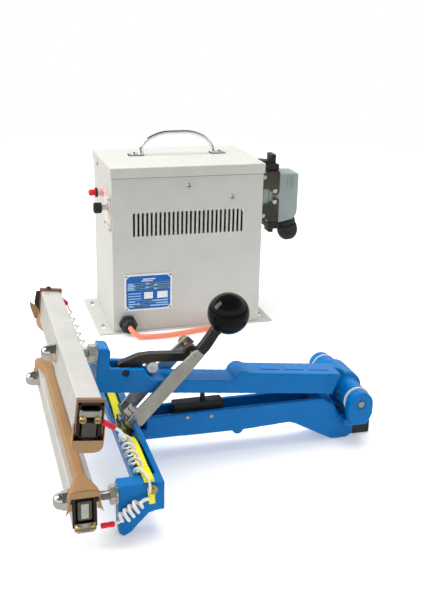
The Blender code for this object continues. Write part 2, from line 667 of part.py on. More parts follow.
def lower_arm(tongs):
    head_outline = [(HEAD_X[0], LOWER_TOP), (HEAD_X[0], 35.0), (-234.5, 33.0), (-234.5, 20.5),
                    (HEAD_X[1], 20.5), (HEAD_X[1], LOWER_TOP)]
    body = plate("lower_arm", head_outline, -HEAD_HALF + 0.2, HEAD_HALF - 0.2, frame=tongs)
    lug = [(LUG_X, LOWER_TOP), (LUG_X, 4.0), (-250.0, 0.0), (-244.0, 3.0), (-229.0, 19.0), (-221.5, 20.5),
           (HEAD_X[1], LOWER_TOP)]
    lugs = [plate("lower_lug_near", lug, -HEAD_HALF, -HEAD_HALF + LUG_T, frame=tongs),
            plate("lower_lug_far", lug, HEAD_HALF - LUG_T, HEAD_HALF, frame=tongs)]
    beam_outline = [(-219.0, LOWER_TOP - 0.4), (-219.0, 23.2), *arc((-118.0, 23.2), 5.5, 195, 345, 6),
                    (-66.0, 24.0), (-59.0, 21.5), (-33.0, 7.0), (-21.0, 0.8), (-15.0, 0.0), (-4.0, 0.5),
                    (1.4, 4.0), (2.4, 15.1), (14.0, 15.1), (14.0, 26.0), (-14.0, 26.0), (-20.0, 38.0),
                    (-33.0, LOWER_TOP - 0.4)]
    beam = plate("lower_beam", beam_outline, -ARM_HALF, ARM_HALF, frame=tongs)
    near = BARREL_Y[0] - GAP - WASHER_T - GAP
    far = BARREL_Y[1] + GAP + WASHER_T + GAP
    web = box("lower_web", (-12.5, near - 1.8, 17.5), (12.0, far + 3.0, 24.6), tongs)
    cheek = [*arc((0.0, HINGE_Z), 12.3, 0, 180, 12), (-12.9, 36.0), (-12.0, 30.5), (-8.8, 23.8), (8.0, 23.8),
             (12.1, 33.0)]
    cheeks = [plate("lower_cheek_near", cheek, near - CHEEK_T, near, frame=tongs),
              plate("lower_cheek_far", cheek, far, far + CHEEK_T, frame=tongs)]
    join(body, *lugs, beam, web, *cheeks)
    clearance = cylinder("barrel_clearance", COLLAR_R + 1.8, (0.0, COLLAR_Y[0] - 7.5, HINGE_Z),
                         COLLAR_Y[1] - COLLAR_Y[0] + 14.0, "Y", 32, tongs)
    channel = box("head_channel", (-235.0, -HEAD_HALF + LUG_T, 34.0), (-221.0, HEAD_HALF - LUG_T, 60.0), tongs)
    groove = box("head_groove", (-231.6, -HEAD_HALF + LUG_T, 23.2), (-221.0, HEAD_HALF - LUG_T, 35.0), tongs)
    pocket = box("toggle_pocket", (-235.9, -21.5, 32.8), (-207.0, 21.5, 60.0), tongs)
    well = box("toggle_well", (-233.2, -10.0, 24.0), (-207.0, 10.0, 60.0), tongs)
    hollow = box("beam_hollow", (-205.0, -ARM_HALF + 5.0, 27.5), (-42.0, ARM_HALF - 5.0, 60.0), tongs)
    saddle = box("anchor_saddle", (-233.3, -ARM_HALF, 31.5), (-212.0, ARM_HALF, 60.0), tongs)
    bore = cylinder("lower_bore", PIN_R + GAP, (0.0, -60.0, HINGE_Z), 180.0, "Y", 24, tongs)
    stud_holes = [cylinder(f"lower_stud_hole_{i}", STUD_R + GAP, (-270.0, y, LOWER_STUD_Z), 60.0, "X", 20, tongs)
                  for i, y in enumerate((-HEAD_HALF + LUG_T / 2, HEAD_HALF - LUG_T / 2))]
    cut(body, clearance, channel, groove, pocket, well, saddle, hollow, bore, *stud_holes)
    return paint(body, "enamel_blue")


def upper_arm(frame):
    top, rear_top, waist = 70.0, 67.5, 60.0
    step = arc((-116.5, 60.0), 9.5, 180, 55, 8)
    outline = [(-256.0, UPPER_BOTTOM), (-26.0, UPPER_BOTTOM), (-12.0, 40.0), (0.0, 40.0), (0.0, 58.0), (-8.0, 65.0),
               (-18.0, rear_top), (-106.0, rear_top), *reversed(step), (-127.0, waist), (-205.0, waist),
               (-213.0, top), (-256.0, top)]
    body = plate("upper_arm", outline, -ARM_HALF, ARM_HALF, frame=frame)
    lug_outline = [(-256.0, UPPER_BOTTOM), (-245.0, UPPER_BOTTOM), (-245.0, 80.0), *arc((-249.5, 85.0), 4.5, 0, 90, 4),
                   (-256.0, 89.5)]
    lug = plate("upper_lug", lug_outline, -ARM_HALF + 0.05, 8.0, frame=frame)
    shoulder = plate("hinge_shoulder", [(-25.5, 38.0), (-14.5, 75.0), (12.0, 75.0), (12.0, 38.0)], -20.0,
                     COLLAR_Y[0] - 1.0, frame=frame)
    cut(body, shoulder)
    near, far = COLLAR_Y
    profile = [(0.0, BARREL_Y[1]), (HINGE_R, BARREL_Y[1]), (HINGE_R, far + 7.0), (COLLAR_R, far), (COLLAR_R, near + 1.0),
               (COLLAR_R - 1.0, near), (HINGE_R, near - 1.0), (HINGE_R, BARREL_Y[0]), (0.0, BARREL_Y[0])]
    barrel = turned("upper_barrel", profile, (0.0, 0.0, HINGE_Z), "Y", 32, frame)
    gusset = plate("upper_gusset", [(-40.0, 10.0), (-4.0, 10.0), (-4.0, 34.0), (-12.0, 34.0)], 47.6, 56.0, "Z", frame)
    rest_lug = box("rest_lug", (REST_AT[0] - 4.0, 5.2, 57.0), (REST_AT[0] + 4.0, 9.5, REST_AT[1] + 2.6), frame)
    rest_pin = cylinder("rest_pin", 1.8, (REST_AT[0], -2.6, REST_AT[1]), 8.5, "Y", 16, frame)
    cut(body, cylinder("rest_clearance", REST_R + 0.7, (REST_AT[0], -5.2, REST_AT[1]), 10.2, "Y", 24, frame))
    join(body, lug, barrel, gusset, rest_lug, rest_pin)
    inner = ARM_HALF - ARM_WALL
    opening = box("toggle_opening", (-242.5, -inner, 40.0), (-207.4, inner, 80.0), frame)
    switch_room = box("switch_room", (-200.0, -inner, 40.0), (-124.0, inner, 56.5), frame)
    rear_room = box("rear_room", (-112.0, -inner, 40.0), (-34.0, inner, 62.0), frame)
    bore = cylinder("upper_bore", PIN_R + GAP, (0.0, -60.0, HINGE_Z), 180.0, "Y", 24, frame)
    pivot = cylinder("lever_pivot_bore", 3.3, (LEVER_PIVOT[0], -30.0, LEVER_PIVOT[1]), 60.0, "Y", 20, frame)
    stud = cylinder("upper_stud_hole", STUD_R + GAP, (-262.0, *UPPER_STUD), 24.0, "X", 20, frame)
    cut(body, opening, switch_room, rear_room, bore, pivot, stud)
    return paint(body, "enamel_blue")


def hinge_hardware(tongs):
    near = BARREL_Y[0] - 2 * GAP - WASHER_T - CHEEK_T
    far = BARREL_Y[1] + 2 * GAP + WASHER_T + CHEEK_T
    pin = [(0.0, far + 1.2), (2.6, far + 1.2), (PIN_R, far), (PIN_R, near), (2.6, near - 1.2), (0.0, near - 1.2)]
    made = [paint(turned("hinge_pin", pin, (0.0, 0.0, HINGE_Z), "Y", 24, tongs), "steel")]
    for name, y in (("hinge_washer_near", BARREL_Y[0] - GAP - WASHER_T), ("hinge_washer_far", BARREL_Y[1] + GAP)):
        ring = cylinder(name, HINGE_R + 0.5, (0.0, y, HINGE_Z), WASHER_T, "Y", 32, tongs)
        cut(ring, cylinder(name + "_bore", PIN_R + GAP, (0.0, y - 2, HINGE_Z), WASHER_T + 4, "Y", 24, tongs))
        made.append(paint(ring, "nylon"))
    return made


# ---------------------------------------------------------------- tongs: toggle

def toggle_lever(frame):
    """A bent flat bar from its pivot in the upper arm, past the link's pin, up to the ball."""
    pivot, pin = open_lever_pivot(), open_link_pin()
    corners = [pivot, (-211.0, 99.4), (-199.5, 100.6), (-166.0, 98.2), (-153.6, 101.2), (-148.2, 107.0),
               (-143.0, 114.5), (-138.0, 122.0)]
    halves = [6.8, 4.6, 3.9, 4.0, 4.5, 4.6, 4.4, 4.0]
    body = plate("toggle_lever", bar_outline(corners[0], corners[1], halves[0], halves[1]), -4.0, 4.0, frame=frame)
    segments = []
    for i in range(1, len(corners) - 1):
        outline = bar_outline(corners[i], corners[i + 1], halves[i], halves[i + 1])
        segments.append(plate(f"lever_bar_{i}", outline, -4.0 + 0.02 * i, 4.0 - 0.02 * i, frame=frame))
    eye = cylinder("lever_eye", 6.3, (pin[0], -3.8, pin[1]), 7.6, "Y", 20, frame)
    join(body, *segments, eye)
    cut(body, cylinder("lever_pivot_hole", 3.0 + GAP, (pivot[0], -20.0, pivot[1]), 40.0, "Y", 20, frame),
        cylinder("lever_pin_hole", 3.0 + GAP, (pin[0], -20.0, pin[1]), 40.0, "Y", 20, frame))
    return paint(body, "lever_black")


def ball_knob(frame):
    """The ball, bored to sit over the end of the lever."""
    form = bmesh.new()
    bmesh.ops.create_uvsphere(form, u_segments=28, v_segments=16, radius=19.6 * MM)
    mesh = bpy.data.meshes.new("ball_knob")
    form.to_mesh(mesh)
    form.free()
    ball = mesh_object("ball_knob", mesh, (-126.5, 0.0, 136.4), (0.0, 0.0, 0.0), frame)
    socket = plate("ball_socket", bar_outline((-150.0, 105.6), (-136.6, 123.9), 6.2, 5.2), -4.6, 4.6, frame=frame)
    cut(ball, socket)
    return paint(ball, "ball_black")


def pins(upper, lever):
    """The lever's pivot pin in the upper arm, and the pin with a domed nut that joins lever and link."""
    x, z = LEVER_PIVOT
    pivot = [(0.0, ARM_HALF), (3.0, ARM_HALF), (3.0, -ARM_HALF + 1.5), (0.0, -ARM_HALF + 1.5)]
    lever_pin = turned("lever_pivot_pin", pivot, (x, 0.0, z), "Y", 20, upper)
    px, pz = open_link_pin()
    far = LEG_Y + LEG_T + GAP
    profile = [(0.0, far + 9.0), (3.6, far + 8.4), (5.8, far + 6.0), (6.4, far + 3.0), (6.4, far), (3.0, far),
               (3.0, -LEG_Y - LEG_T), (0.0, -LEG_Y - LEG_T)]
    link_pin = turned("link_pin", profile, (px, 0.0, pz), "Y", 20, lever)
    return paint(lever_pin, "steel"), paint(link_pin, "brass")


def link_axes():
    """The link's own directions: along it from the pin to the anchor, and across it to the upper left."""
    pin = open_link_pin()
    along = Vector((LINK_ANCHOR[0] - pin[0], LINK_ANCHOR[1] - pin[1])).normalized()
    return Vector(pin), along, Vector((along.y, -along.x))


def on_link(s, across):
    pin, along, side = link_axes()
    return tuple(pin + along * s + side * across)


def toggle_link(frame):
    """A strap bent to a U: a leg on each side of the upper arm and a cross piece over the eye bolt."""
    length = link_length()
    cross = length - CROSS_S
    half = LEG_HALF
    outline = [on_link(-7.0, -4.4), on_link(-7.0, 3.2), on_link(-4.5, 5.0), on_link(18.0, half),
               on_link(cross - 16.0, half - 0.6), on_link(cross + 1.5, 3.6), on_link(cross + 1.5, -1.4),
               on_link(cross - 2.2, -3.4), on_link(cross - 6.5, -8.8), on_link(cross - 18.0, -half - 1.6),
               on_link(18.0, -half)]
    legs = [plate("toggle_link", outline, -LEG_Y - LEG_T, -LEG_Y, frame=frame),
            plate("link_far_leg", outline, LEG_Y, LEG_Y + LEG_T, frame=frame)]
    bridge = [on_link(cross - 1.5, -5.4), on_link(cross - 1.5, 6.7), on_link(cross + 1.45, 5.3),
              on_link(cross + 1.45, -5.4)]
    cross_piece = plate("link_cross_piece", bridge, -LEG_Y - LEG_T + 0.1, LEG_Y + LEG_T - 0.1, frame=frame)
    body = join(legs[0], legs[1], cross_piece)
    px, pz = open_link_pin()
    lean = math.atan2(*(Vector(LINK_ANCHOR) - Vector((px, pz))))
    start = on_link(cross - 12.0, 0.0)
    hole = cylinder("link_bolt_hole", 2.6 + GAP, (start[0], 0.0, start[1]), 30.0, "Z", 16, frame)
    hole.rotation_euler = (0.0, lean, 0.0)
    cut(body, hole, cylinder("link_pin_hole", 3.0 + GAP, (px, -30.0, pz), 60.0, "Y", 20, frame))
    return paint(body, "steel")


def eye_bolt(frame):
    """The eye bolt on the lower anchor pin, with the nut that sets the closing force."""
    length = link_length()
    cross = length - CROSS_S
    px, pz = open_link_pin()
    lean = math.atan2(*(Vector(LINK_ANCHOR) - Vector((px, pz))))
    eye = cylinder("eye_bolt", EYE_R, (LINK_ANCHOR[0], -3.5, LINK_ANCHOR[1]), 7.0, "Y", 24, frame)
    start = on_link(cross - 12.5, 0.0)
    shank = cylinder("eye_shank", 2.6, (start[0], 0.0, start[1]), CROSS_S + 9.2, "Z", 16, frame)
    shank.rotation_euler = (0.0, lean, 0.0)
    join(eye, shank)
    cut(eye, cylinder("eye_hole", 2.2 + GAP, (LINK_ANCHOR[0], -20.0, LINK_ANCHOR[1]), 40.0, "Y", 16, frame))
    made = [paint(eye, "steel")]
    corner = on_link(cross - 7.0, 0.0)
    nut = cylinder("adjusting_nut", 5.4, (corner[0], 0.0, corner[1]), 5.2, "Z", 6, frame)
    bore = cylinder("nut_bore", 2.6 + GAP, (start[0], 0.0, start[1]), 30.0, "Z", 16, frame)
    for piece in (nut, bore):
        piece.rotation_euler = (0.0, lean, 0.0)
    made.append(paint(cut(nut, bore), "steel"))
    anchor = cylinder("anchor_pin", 2.2, (LINK_ANCHOR[0], -13.4, LINK_ANCHOR[1]), 26.8, "Y", 16, frame)
    made.append(paint(anchor, "steel"))
    return made


# ---------------------------------------------------------------- tongs: jaws

def jaw_bar(name, z_low, z_high, studs, frame):
    """A rectangular aluminium tube with a cross hole for each stud."""
    bar = box(name, (JAW_X - JAW_HALF, -JAW_LEN, z_low), (JAW_X + JAW_HALF, JAW_LEN, z_high), frame)
    round_edges(bar, 1.0, 1)
    cut(bar, box(name + "_hollow", (JAW_X - JAW_HALF + 2.2, -JAW_LEN - 5, z_low + 2.2),
                 (JAW_X + JAW_HALF - 2.2, JAW_LEN + 5, z_high - 2.2), frame))
    holes = [cylinder(f"{name}_stud_hole_{i}", STUD_R + GAP, (JAW_X - 20, y, z), 40.0, "X", 20, frame)
             for i, (y, z) in enumerate(studs)]
    return paint(cut(bar, *holes), "aluminium")


def cover_outline(side, z_face, z_bar, half):
    """The section of a PTFE cover: over the sealing face and a little way down both sides of the bar."""
    drop = z_bar - side * 2.5
    inner, thick = half + GAP, 0.9
    shoulder = z_bar + side * 2.0
    outer = [(JAW_X - inner - thick, drop), (JAW_X - inner - thick, shoulder),
             (JAW_X - 6.5, z_face - side * 0.9), (JAW_X - 3.0, z_face), (JAW_X + 3.0, z_face),
             (JAW_X + 6.5, z_face - side * 0.9), (JAW_X + inner + thick, shoulder), (JAW_X + inner + thick, drop)]
    lining = [(JAW_X + inner, drop), (JAW_X + inner, shoulder - side * 0.3), (JAW_X + 6.2, z_face - side * 1.9),
              (JAW_X + 3.0, z_face - side * 1.0), (JAW_X - 3.0, z_face - side * 1.0),
              (JAW_X - 6.2, z_face - side * 1.9), (JAW_X - inner, shoulder - side * 0.3), (JAW_X - inner, drop)]
    return outer + lining


def jaw_sealing(name, side, z_bar, z_face, frame):
    """The insulating strip, the heating band on it and the PTFE cloth over both.  side is +1 for a face
    that looks up and -1 for one that looks down."""
    face = z_face - side * 1.3
    band_z = sorted((face, face - side * 0.5))
    band = box(f"{name}_heating_band", (JAW_X - 3.0, -JAW_LEN - 3.0, band_z[0]),
               (JAW_X + 3.0, JAW_LEN + 3.0, band_z[1]), frame)
    strip_z = sorted((z_bar + side * GAP, face - side * (0.5 + GAP)))
    strip = box(f"{name}_insulating_strip", (JAW_X - 4.2, -JAW_LEN, strip_z[0]), (JAW_X + 4.2, JAW_LEN, strip_z[1]),
                frame)
    cover = plate(f"{name}_ptfe_cover", cover_outline(side, z_face, z_bar, JAW_HALF), -JAW_LEN - 1.0, JAW_LEN + 1.0,
                  frame=frame)
    return paint(band, "steel"), paint(strip, "silicone"), paint(cover, "ptfe_brown")


def end_clamp(name, end, z_middle, frame):
    """The sprung block in the end of a bar that pulls the heating band tight, with its two screws."""
    inner, outer = sorted((end * (JAW_LEN - 12.0), end * (JAW_LEN + 3.2)))
    block = box(name, (JAW_X - 5.5, inner, z_middle - 5.5), (JAW_X + 5.5, outer, z_middle + 5.5), frame)
    round_edges(block, 0.8, 1)
    head = end * (JAW_LEN + 2.8)
    axis = "Y" if end > 0 else "-Y"
    screws = [cylinder(f"{name}_screw_{i}", 2.3, (JAW_X + dx, head, z_middle + 2.5), 2.6, axis, 8, frame)
              for i, dx in enumerate((-2.8, 2.8))]
    return paint(join(block, *screws), "brass")


def stud(name, y, z, start_x, end_x, frame):
    made = cylinder(name, STUD_R, (start_x, y, z), end_x - start_x, "X", 20, frame)
    return paint(made, "steel")


def dome_nut(name, x, y, z, frame):
    """An acorn nut, its dome towards -X."""
    hexagon = cylinder(name, 8.0, (x, y, z), 6.0, "-X", 6, frame)
    dome = turned(name + "_dome", [(0.0, 13.0), (3.2, 12.4), (5.6, 10.4), (6.7, 7.5), (6.8, 4.0), (0.0, 4.0)],
                  (x, y, z), "-X", 20, frame)
    join(hexagon, dome)
    cut(hexagon, cylinder(name + "_bore", STUD_R + GAP, (x + 1, y, z), 7.5, "-X", 16, frame))
    return paint(hexagon, "chrome")


# ---------------------------------------------------------------- tongs: electrics and small pieces

def microswitch(tongs):
    body = box("microswitch", (-179.0, -6.2, 28.0), (-131.0, 6.2, 52.2), tongs)
    round_edges(body, 0.8, 1)
    cut(body, cylinder("switch_bore", 2.6, (-150.0, 0.0, 40.0), 30.0, "Z", 16, tongs))
    plunger = cylinder("switch_plunger", 2.3, (-150.0, 0.0, 46.0), 12.2, "Z", 16, tongs)
    return paint(body, "plastic_black"), paint(plunger, "plastic_black")


def lever_rest(upper):
    """The nylon roller that the open lever lies on, bored from its far end."""
    roller = cylinder("lever_rest_roller", REST_R, (REST_AT[0], -4.6, REST_AT[1]), 9.2, "Y", 24, upper)
    cut(roller, cylinder("roller_bore", 1.8 + GAP, (REST_AT[0], -2.9, REST_AT[1]), 20.0, "Y", 16, upper))
    return paint(roller, "nylon")


def power_sleeve(tongs):
    """The sleeved feed that lies in the cross head's channel and comes over its near end to a terminal."""
    path = [(-227.0, 106.0, 38.0), (-226.6, 60.0, 38.0), (-226.3, 32.0, 35.0), (-226.3, 15.0, 28.2),
            (-226.3, 0.0, 27.2), (-226.3, -15.0, 28.2), (-226.3, -32.0, 36.0), (-227.0, -60.0, 42.0),
            (-228.5, -100.0, 45.0), (-228.5, -111.0, 49.9), (-228.5, -123.5, 50.3), (-228.2, -129.9, 49.0),
            (-228.0, -131.3, 44.0), (-227.5, -131.3, 36.5)]
    return paint(tube("power_sleeve", smooth_path(path, 2), 3.2, tongs), "sleeve_yellow")


def rear_foot(tongs):
    """The rubber foot under the hinge."""
    return paint(round_edges(box("rear_foot", (3.0, -9.0, 0.0), (22.5, 13.0, 14.7), tongs), 1.5, 2), "rubber")


def build_power_unit():
    base_plate()
    housing()
    lid()
    carry_handle()
    nameplate()
    control_plate()
    knob_parts()
    button_parts()
    mains_entry()
    inside()
    connector()
    latch("locking_lever_top", 1)
    latch("locking_lever_bottom", -1)


def build_tongs():
    tongs = Frame("tongs", (TONGS_X, TONGS_Y, 0.0))
    upper = Frame("upper_arm_axis", (0.0, 0.0, HINGE_Z), tongs, OPEN_ANGLE)
    pivot, pin = open_lever_pivot(), open_link_pin()
    lever = Frame("lever_axis", (pivot[0], 0.0, pivot[1]), tongs)
    link = Frame("link_axis", (pin[0], 0.0, pin[1]), tongs)
    lower_arm(tongs)
    upper_arm(upper)
    hinge_hardware(tongs)
    toggle_lever(lever)
    ball_knob(lever)
    pins(upper, lever)
    toggle_link(link)
    eye_bolt(link)
    lower_studs = [(-HEAD_HALF + LUG_T / 2, LOWER_STUD_Z), (HEAD_HALF - LUG_T / 2, LOWER_STUD_Z)]
    jaw_bar("lower_jaw_bar", *LOWER_BAR_Z, lower_studs, tongs)
    jaw_bar("upper_jaw_bar", *UPPER_BAR_Z, [UPPER_STUD], upper)
    jaw_sealing("lower", 1, LOWER_BAR_Z[1], SEAL_Z, tongs)
    jaw_sealing("upper", -1, UPPER_BAR_Z[0], SEAL_Z + 0.5, upper)
    for word, end in (("near", -1), ("far", 1)):
        end_clamp(f"lower_clamp_{word}", end, 26.1, tongs)
        end_clamp(f"upper_clamp_{word}", end, 74.5, upper)
    nut_x = JAW_X - JAW_HALF - GAP
    for word, (y, z) in zip(("near", "far"), lower_studs):
        stud(f"lower_stud_{word}", y, z, nut_x - 6.0, -224.0, tongs)
        dome_nut(f"lower_dome_nut_{word}", nut_x, y, z, tongs)
    stud("upper_stud", *UPPER_STUD, nut_x - 6.0, -246.0, upper)
    dome_nut("upper_dome_nut", nut_x, *UPPER_STUD, upper)
    microswitch(tongs)
    lever_rest(upper)
    power_sleeve(tongs)
    rear_foot(tongs)


clear_scene()
PARTS = new_collection("impulse_heat_sealer")
CUTTERS = new_collection("cutters")
build_power_unit()
build_tongs()
bpy.context.view_layer.update()
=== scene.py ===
"""Looks of the impulse heat sealer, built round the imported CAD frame.

Lengths are in millimetres until a mesh is made.  CASE is the place of the power unit, LOWER that of the
tongs' lower half and UPPER that of their upper half, whose pieces are given with the jaws shut.
"""

import json
import math
from collections import namedtuple

import bmesh
import bpy
from mathutils import Matrix, Vector

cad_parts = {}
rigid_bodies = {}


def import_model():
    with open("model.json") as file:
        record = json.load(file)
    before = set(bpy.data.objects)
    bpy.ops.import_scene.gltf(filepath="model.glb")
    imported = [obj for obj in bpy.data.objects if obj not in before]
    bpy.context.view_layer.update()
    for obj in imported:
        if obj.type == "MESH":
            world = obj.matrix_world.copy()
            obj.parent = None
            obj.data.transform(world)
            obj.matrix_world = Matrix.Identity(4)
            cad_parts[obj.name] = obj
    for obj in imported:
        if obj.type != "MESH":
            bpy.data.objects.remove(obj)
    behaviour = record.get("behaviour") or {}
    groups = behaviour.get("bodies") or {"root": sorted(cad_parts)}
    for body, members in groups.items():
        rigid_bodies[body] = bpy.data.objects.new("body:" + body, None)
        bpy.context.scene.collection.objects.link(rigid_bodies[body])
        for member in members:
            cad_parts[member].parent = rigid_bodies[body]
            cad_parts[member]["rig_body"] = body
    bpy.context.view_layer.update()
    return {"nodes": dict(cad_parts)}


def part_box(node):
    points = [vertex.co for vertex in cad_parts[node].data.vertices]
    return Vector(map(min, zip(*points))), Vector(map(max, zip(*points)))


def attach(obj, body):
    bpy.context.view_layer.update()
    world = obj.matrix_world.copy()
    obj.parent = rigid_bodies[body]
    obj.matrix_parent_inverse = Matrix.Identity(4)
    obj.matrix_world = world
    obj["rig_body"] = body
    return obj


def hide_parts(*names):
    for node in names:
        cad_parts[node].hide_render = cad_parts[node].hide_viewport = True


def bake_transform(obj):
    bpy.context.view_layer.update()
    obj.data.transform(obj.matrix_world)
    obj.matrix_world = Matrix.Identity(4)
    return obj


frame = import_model()

MM = 0.001
HINGE = Vector((82.5, -379.0, 44.0))
OPEN = math.radians(6.5)
OPENED = Matrix.Translation(HINGE) @ Matrix.Rotation(OPEN, 4, "Y") @ Matrix.Translation((0.0, 0.0, -HINGE.z))
Place = namedtuple("Place", "frame body")
CASE = Place(Matrix.Identity(4), "power_unit")
LOWER = Place(Matrix.Translation((HINGE.x, HINGE.y, 0.0)), "tongs_lower")
UPPER = Place(OPENED, "tongs_upper")
TO_LEFT, TO_RIGHT, TO_FRONT, TO_BACK, UPWARD = (-1, 0, 0), (1, 0, 0), (0, -1, 0), (0, 1, 0), (0, 0, 1)


# ---------------------------------------------------------------- materials

def new_node(tree, kind, **values):
    node = tree.nodes.new(kind)
    for key, value in values.items():
        setattr(node, key, value)
    return node


def noise(tree, vector, scale, detail=3.0, roughness=0.55):
    node = new_node(tree, "ShaderNodeTexNoise")
    node.inputs["Scale"].default_value = scale
    node.inputs["Detail"].default_value = detail
    node.inputs["Roughness"].default_value = roughness
    tree.links.new(vector, node.inputs["Vector"])
    return node.outputs["Fac"]


def ranged(tree, value, low, high, start=0.35, end=0.65):
    node = new_node(tree, "ShaderNodeMapRange")
    tree.links.new(value, node.inputs["Value"])
    for key, number in (("From Min", start), ("From Max", end), ("To Min", low), ("To Max", high)):
        node.inputs[key].default_value = number
    return node.outputs["Result"]


def mixed(tree, factor, a, b):
    node = new_node(tree, "ShaderNodeMix", data_type="RGBA")
    tree.links.new(factor, node.inputs["Factor"])
    for value, socket in ((a, node.inputs[6]), (b, node.inputs[7])):
        if isinstance(value, tuple):
            socket.default_value = (*value, 1.0)
        else:
            tree.links.new(value, socket)
    return node.outputs[2]


def mixed_shaders(tree, factor, a, b):
    node = new_node(tree, "ShaderNodeMixShader")
    for value, socket in zip((factor, a, b), node.inputs):
        tree.links.new(value, socket)
    return node.outputs[0]


def woven(tree, place, scale):
    """The height of a cloth's threads, which run both ways."""
    highest = new_node(tree, "ShaderNodeMath", operation="MAXIMUM")
    for direction, socket in zip(("X", "Y"), highest.inputs):
        wave = new_node(tree, "ShaderNodeTexWave", bands_direction=direction, wave_profile="SIN")
        wave.inputs["Scale"].default_value = scale
        wave.inputs["Distortion"].default_value = 0.4
        tree.links.new(place, wave.inputs["Vector"])
        tree.links.new(wave.outputs["Fac"], socket)
    return highest.outputs[0]


def shade(colour, factor):
    return tuple(min(1.0, c * factor) for c in colour)


def make_material(name, colour, rough, metal=0.0, vary=0.08, vary_scale=35.0, rough_vary=0.06, bump=0.05,
                  bump_scale=700.0, brushed=None, weave=0.0, coat=0.0, through=0.0, dirt=0.0, shine=0.5):
    """A procedural finish.

    vary and rough_vary are how far its colour and roughness wander, dirt the strength of its dark specks,
    bump the height of its grain in millimetres, brushed the squeeze that draws the grain out, weave the scale
    of a cloth's threads and through the light carried under its skin.  Scales are in 1/m: 700 is a grain of
    1.4 mm.
    """
    made = bpy.data.materials.new(name)
    made.use_nodes = True
    tree = made.node_tree
    shader = tree.nodes["Principled BSDF"]
    place = new_node(tree, "ShaderNodeTexCoord").outputs["Object"]
    patches = ranged(tree, noise(tree, place, vary_scale), 0.0, 1.0)
    base = mixed(tree, patches, shade(colour, 1.0 - vary), shade(colour, 1.0 + vary))
    if dirt:
        specks = ranged(tree, noise(tree, place, 140.0, 6.0, 0.7), 0.0, dirt, 0.60, 0.78)
        base = mixed(tree, specks, base, shade(colour, 0.45))
    tree.links.new(ranged(tree, noise(tree, place, vary_scale * 3.1), max(0.02, rough - rough_vary),
                          min(1.0, rough + rough_vary)), shader.inputs["Roughness"])
    shader.inputs["Metallic"].default_value = metal
    shader.inputs["Specular IOR Level"].default_value = shine
    shader.inputs["Coat Weight"].default_value = coat
    shader.inputs["Coat Roughness"].default_value = 0.08
    if through:
        shader.inputs["Subsurface Weight"].default_value = through
        shader.inputs["Subsurface Radius"].default_value = (0.003, 0.002, 0.002)
    if weave:
        height = woven(tree, place, weave)
        base = mixed(tree, height, base, shade(colour, 1.25))
    elif brushed:
        squeezed = new_node(tree, "ShaderNodeMapping")
        squeezed.inputs["Scale"].default_value = brushed
        tree.links.new(place, squeezed.inputs["Vector"])
        height = noise(tree, squeezed.outputs["Vector"], 900.0, 5.0, 0.7)
    else:
        height = noise(tree, place, bump_scale, 4.0)
    tree.links.new(base, shader.inputs["Base Color"])
    relief = new_node(tree, "ShaderNodeBump")
    relief.inputs["Strength"].default_value = min(1.0, bump * 4)
    relief.inputs["Distance"].default_value = bump * MM
    tree.links.new(height, relief.inputs["Height"])
    tree.links.new(relief.outputs["Normal"], shader.inputs["Normal"])
    return made


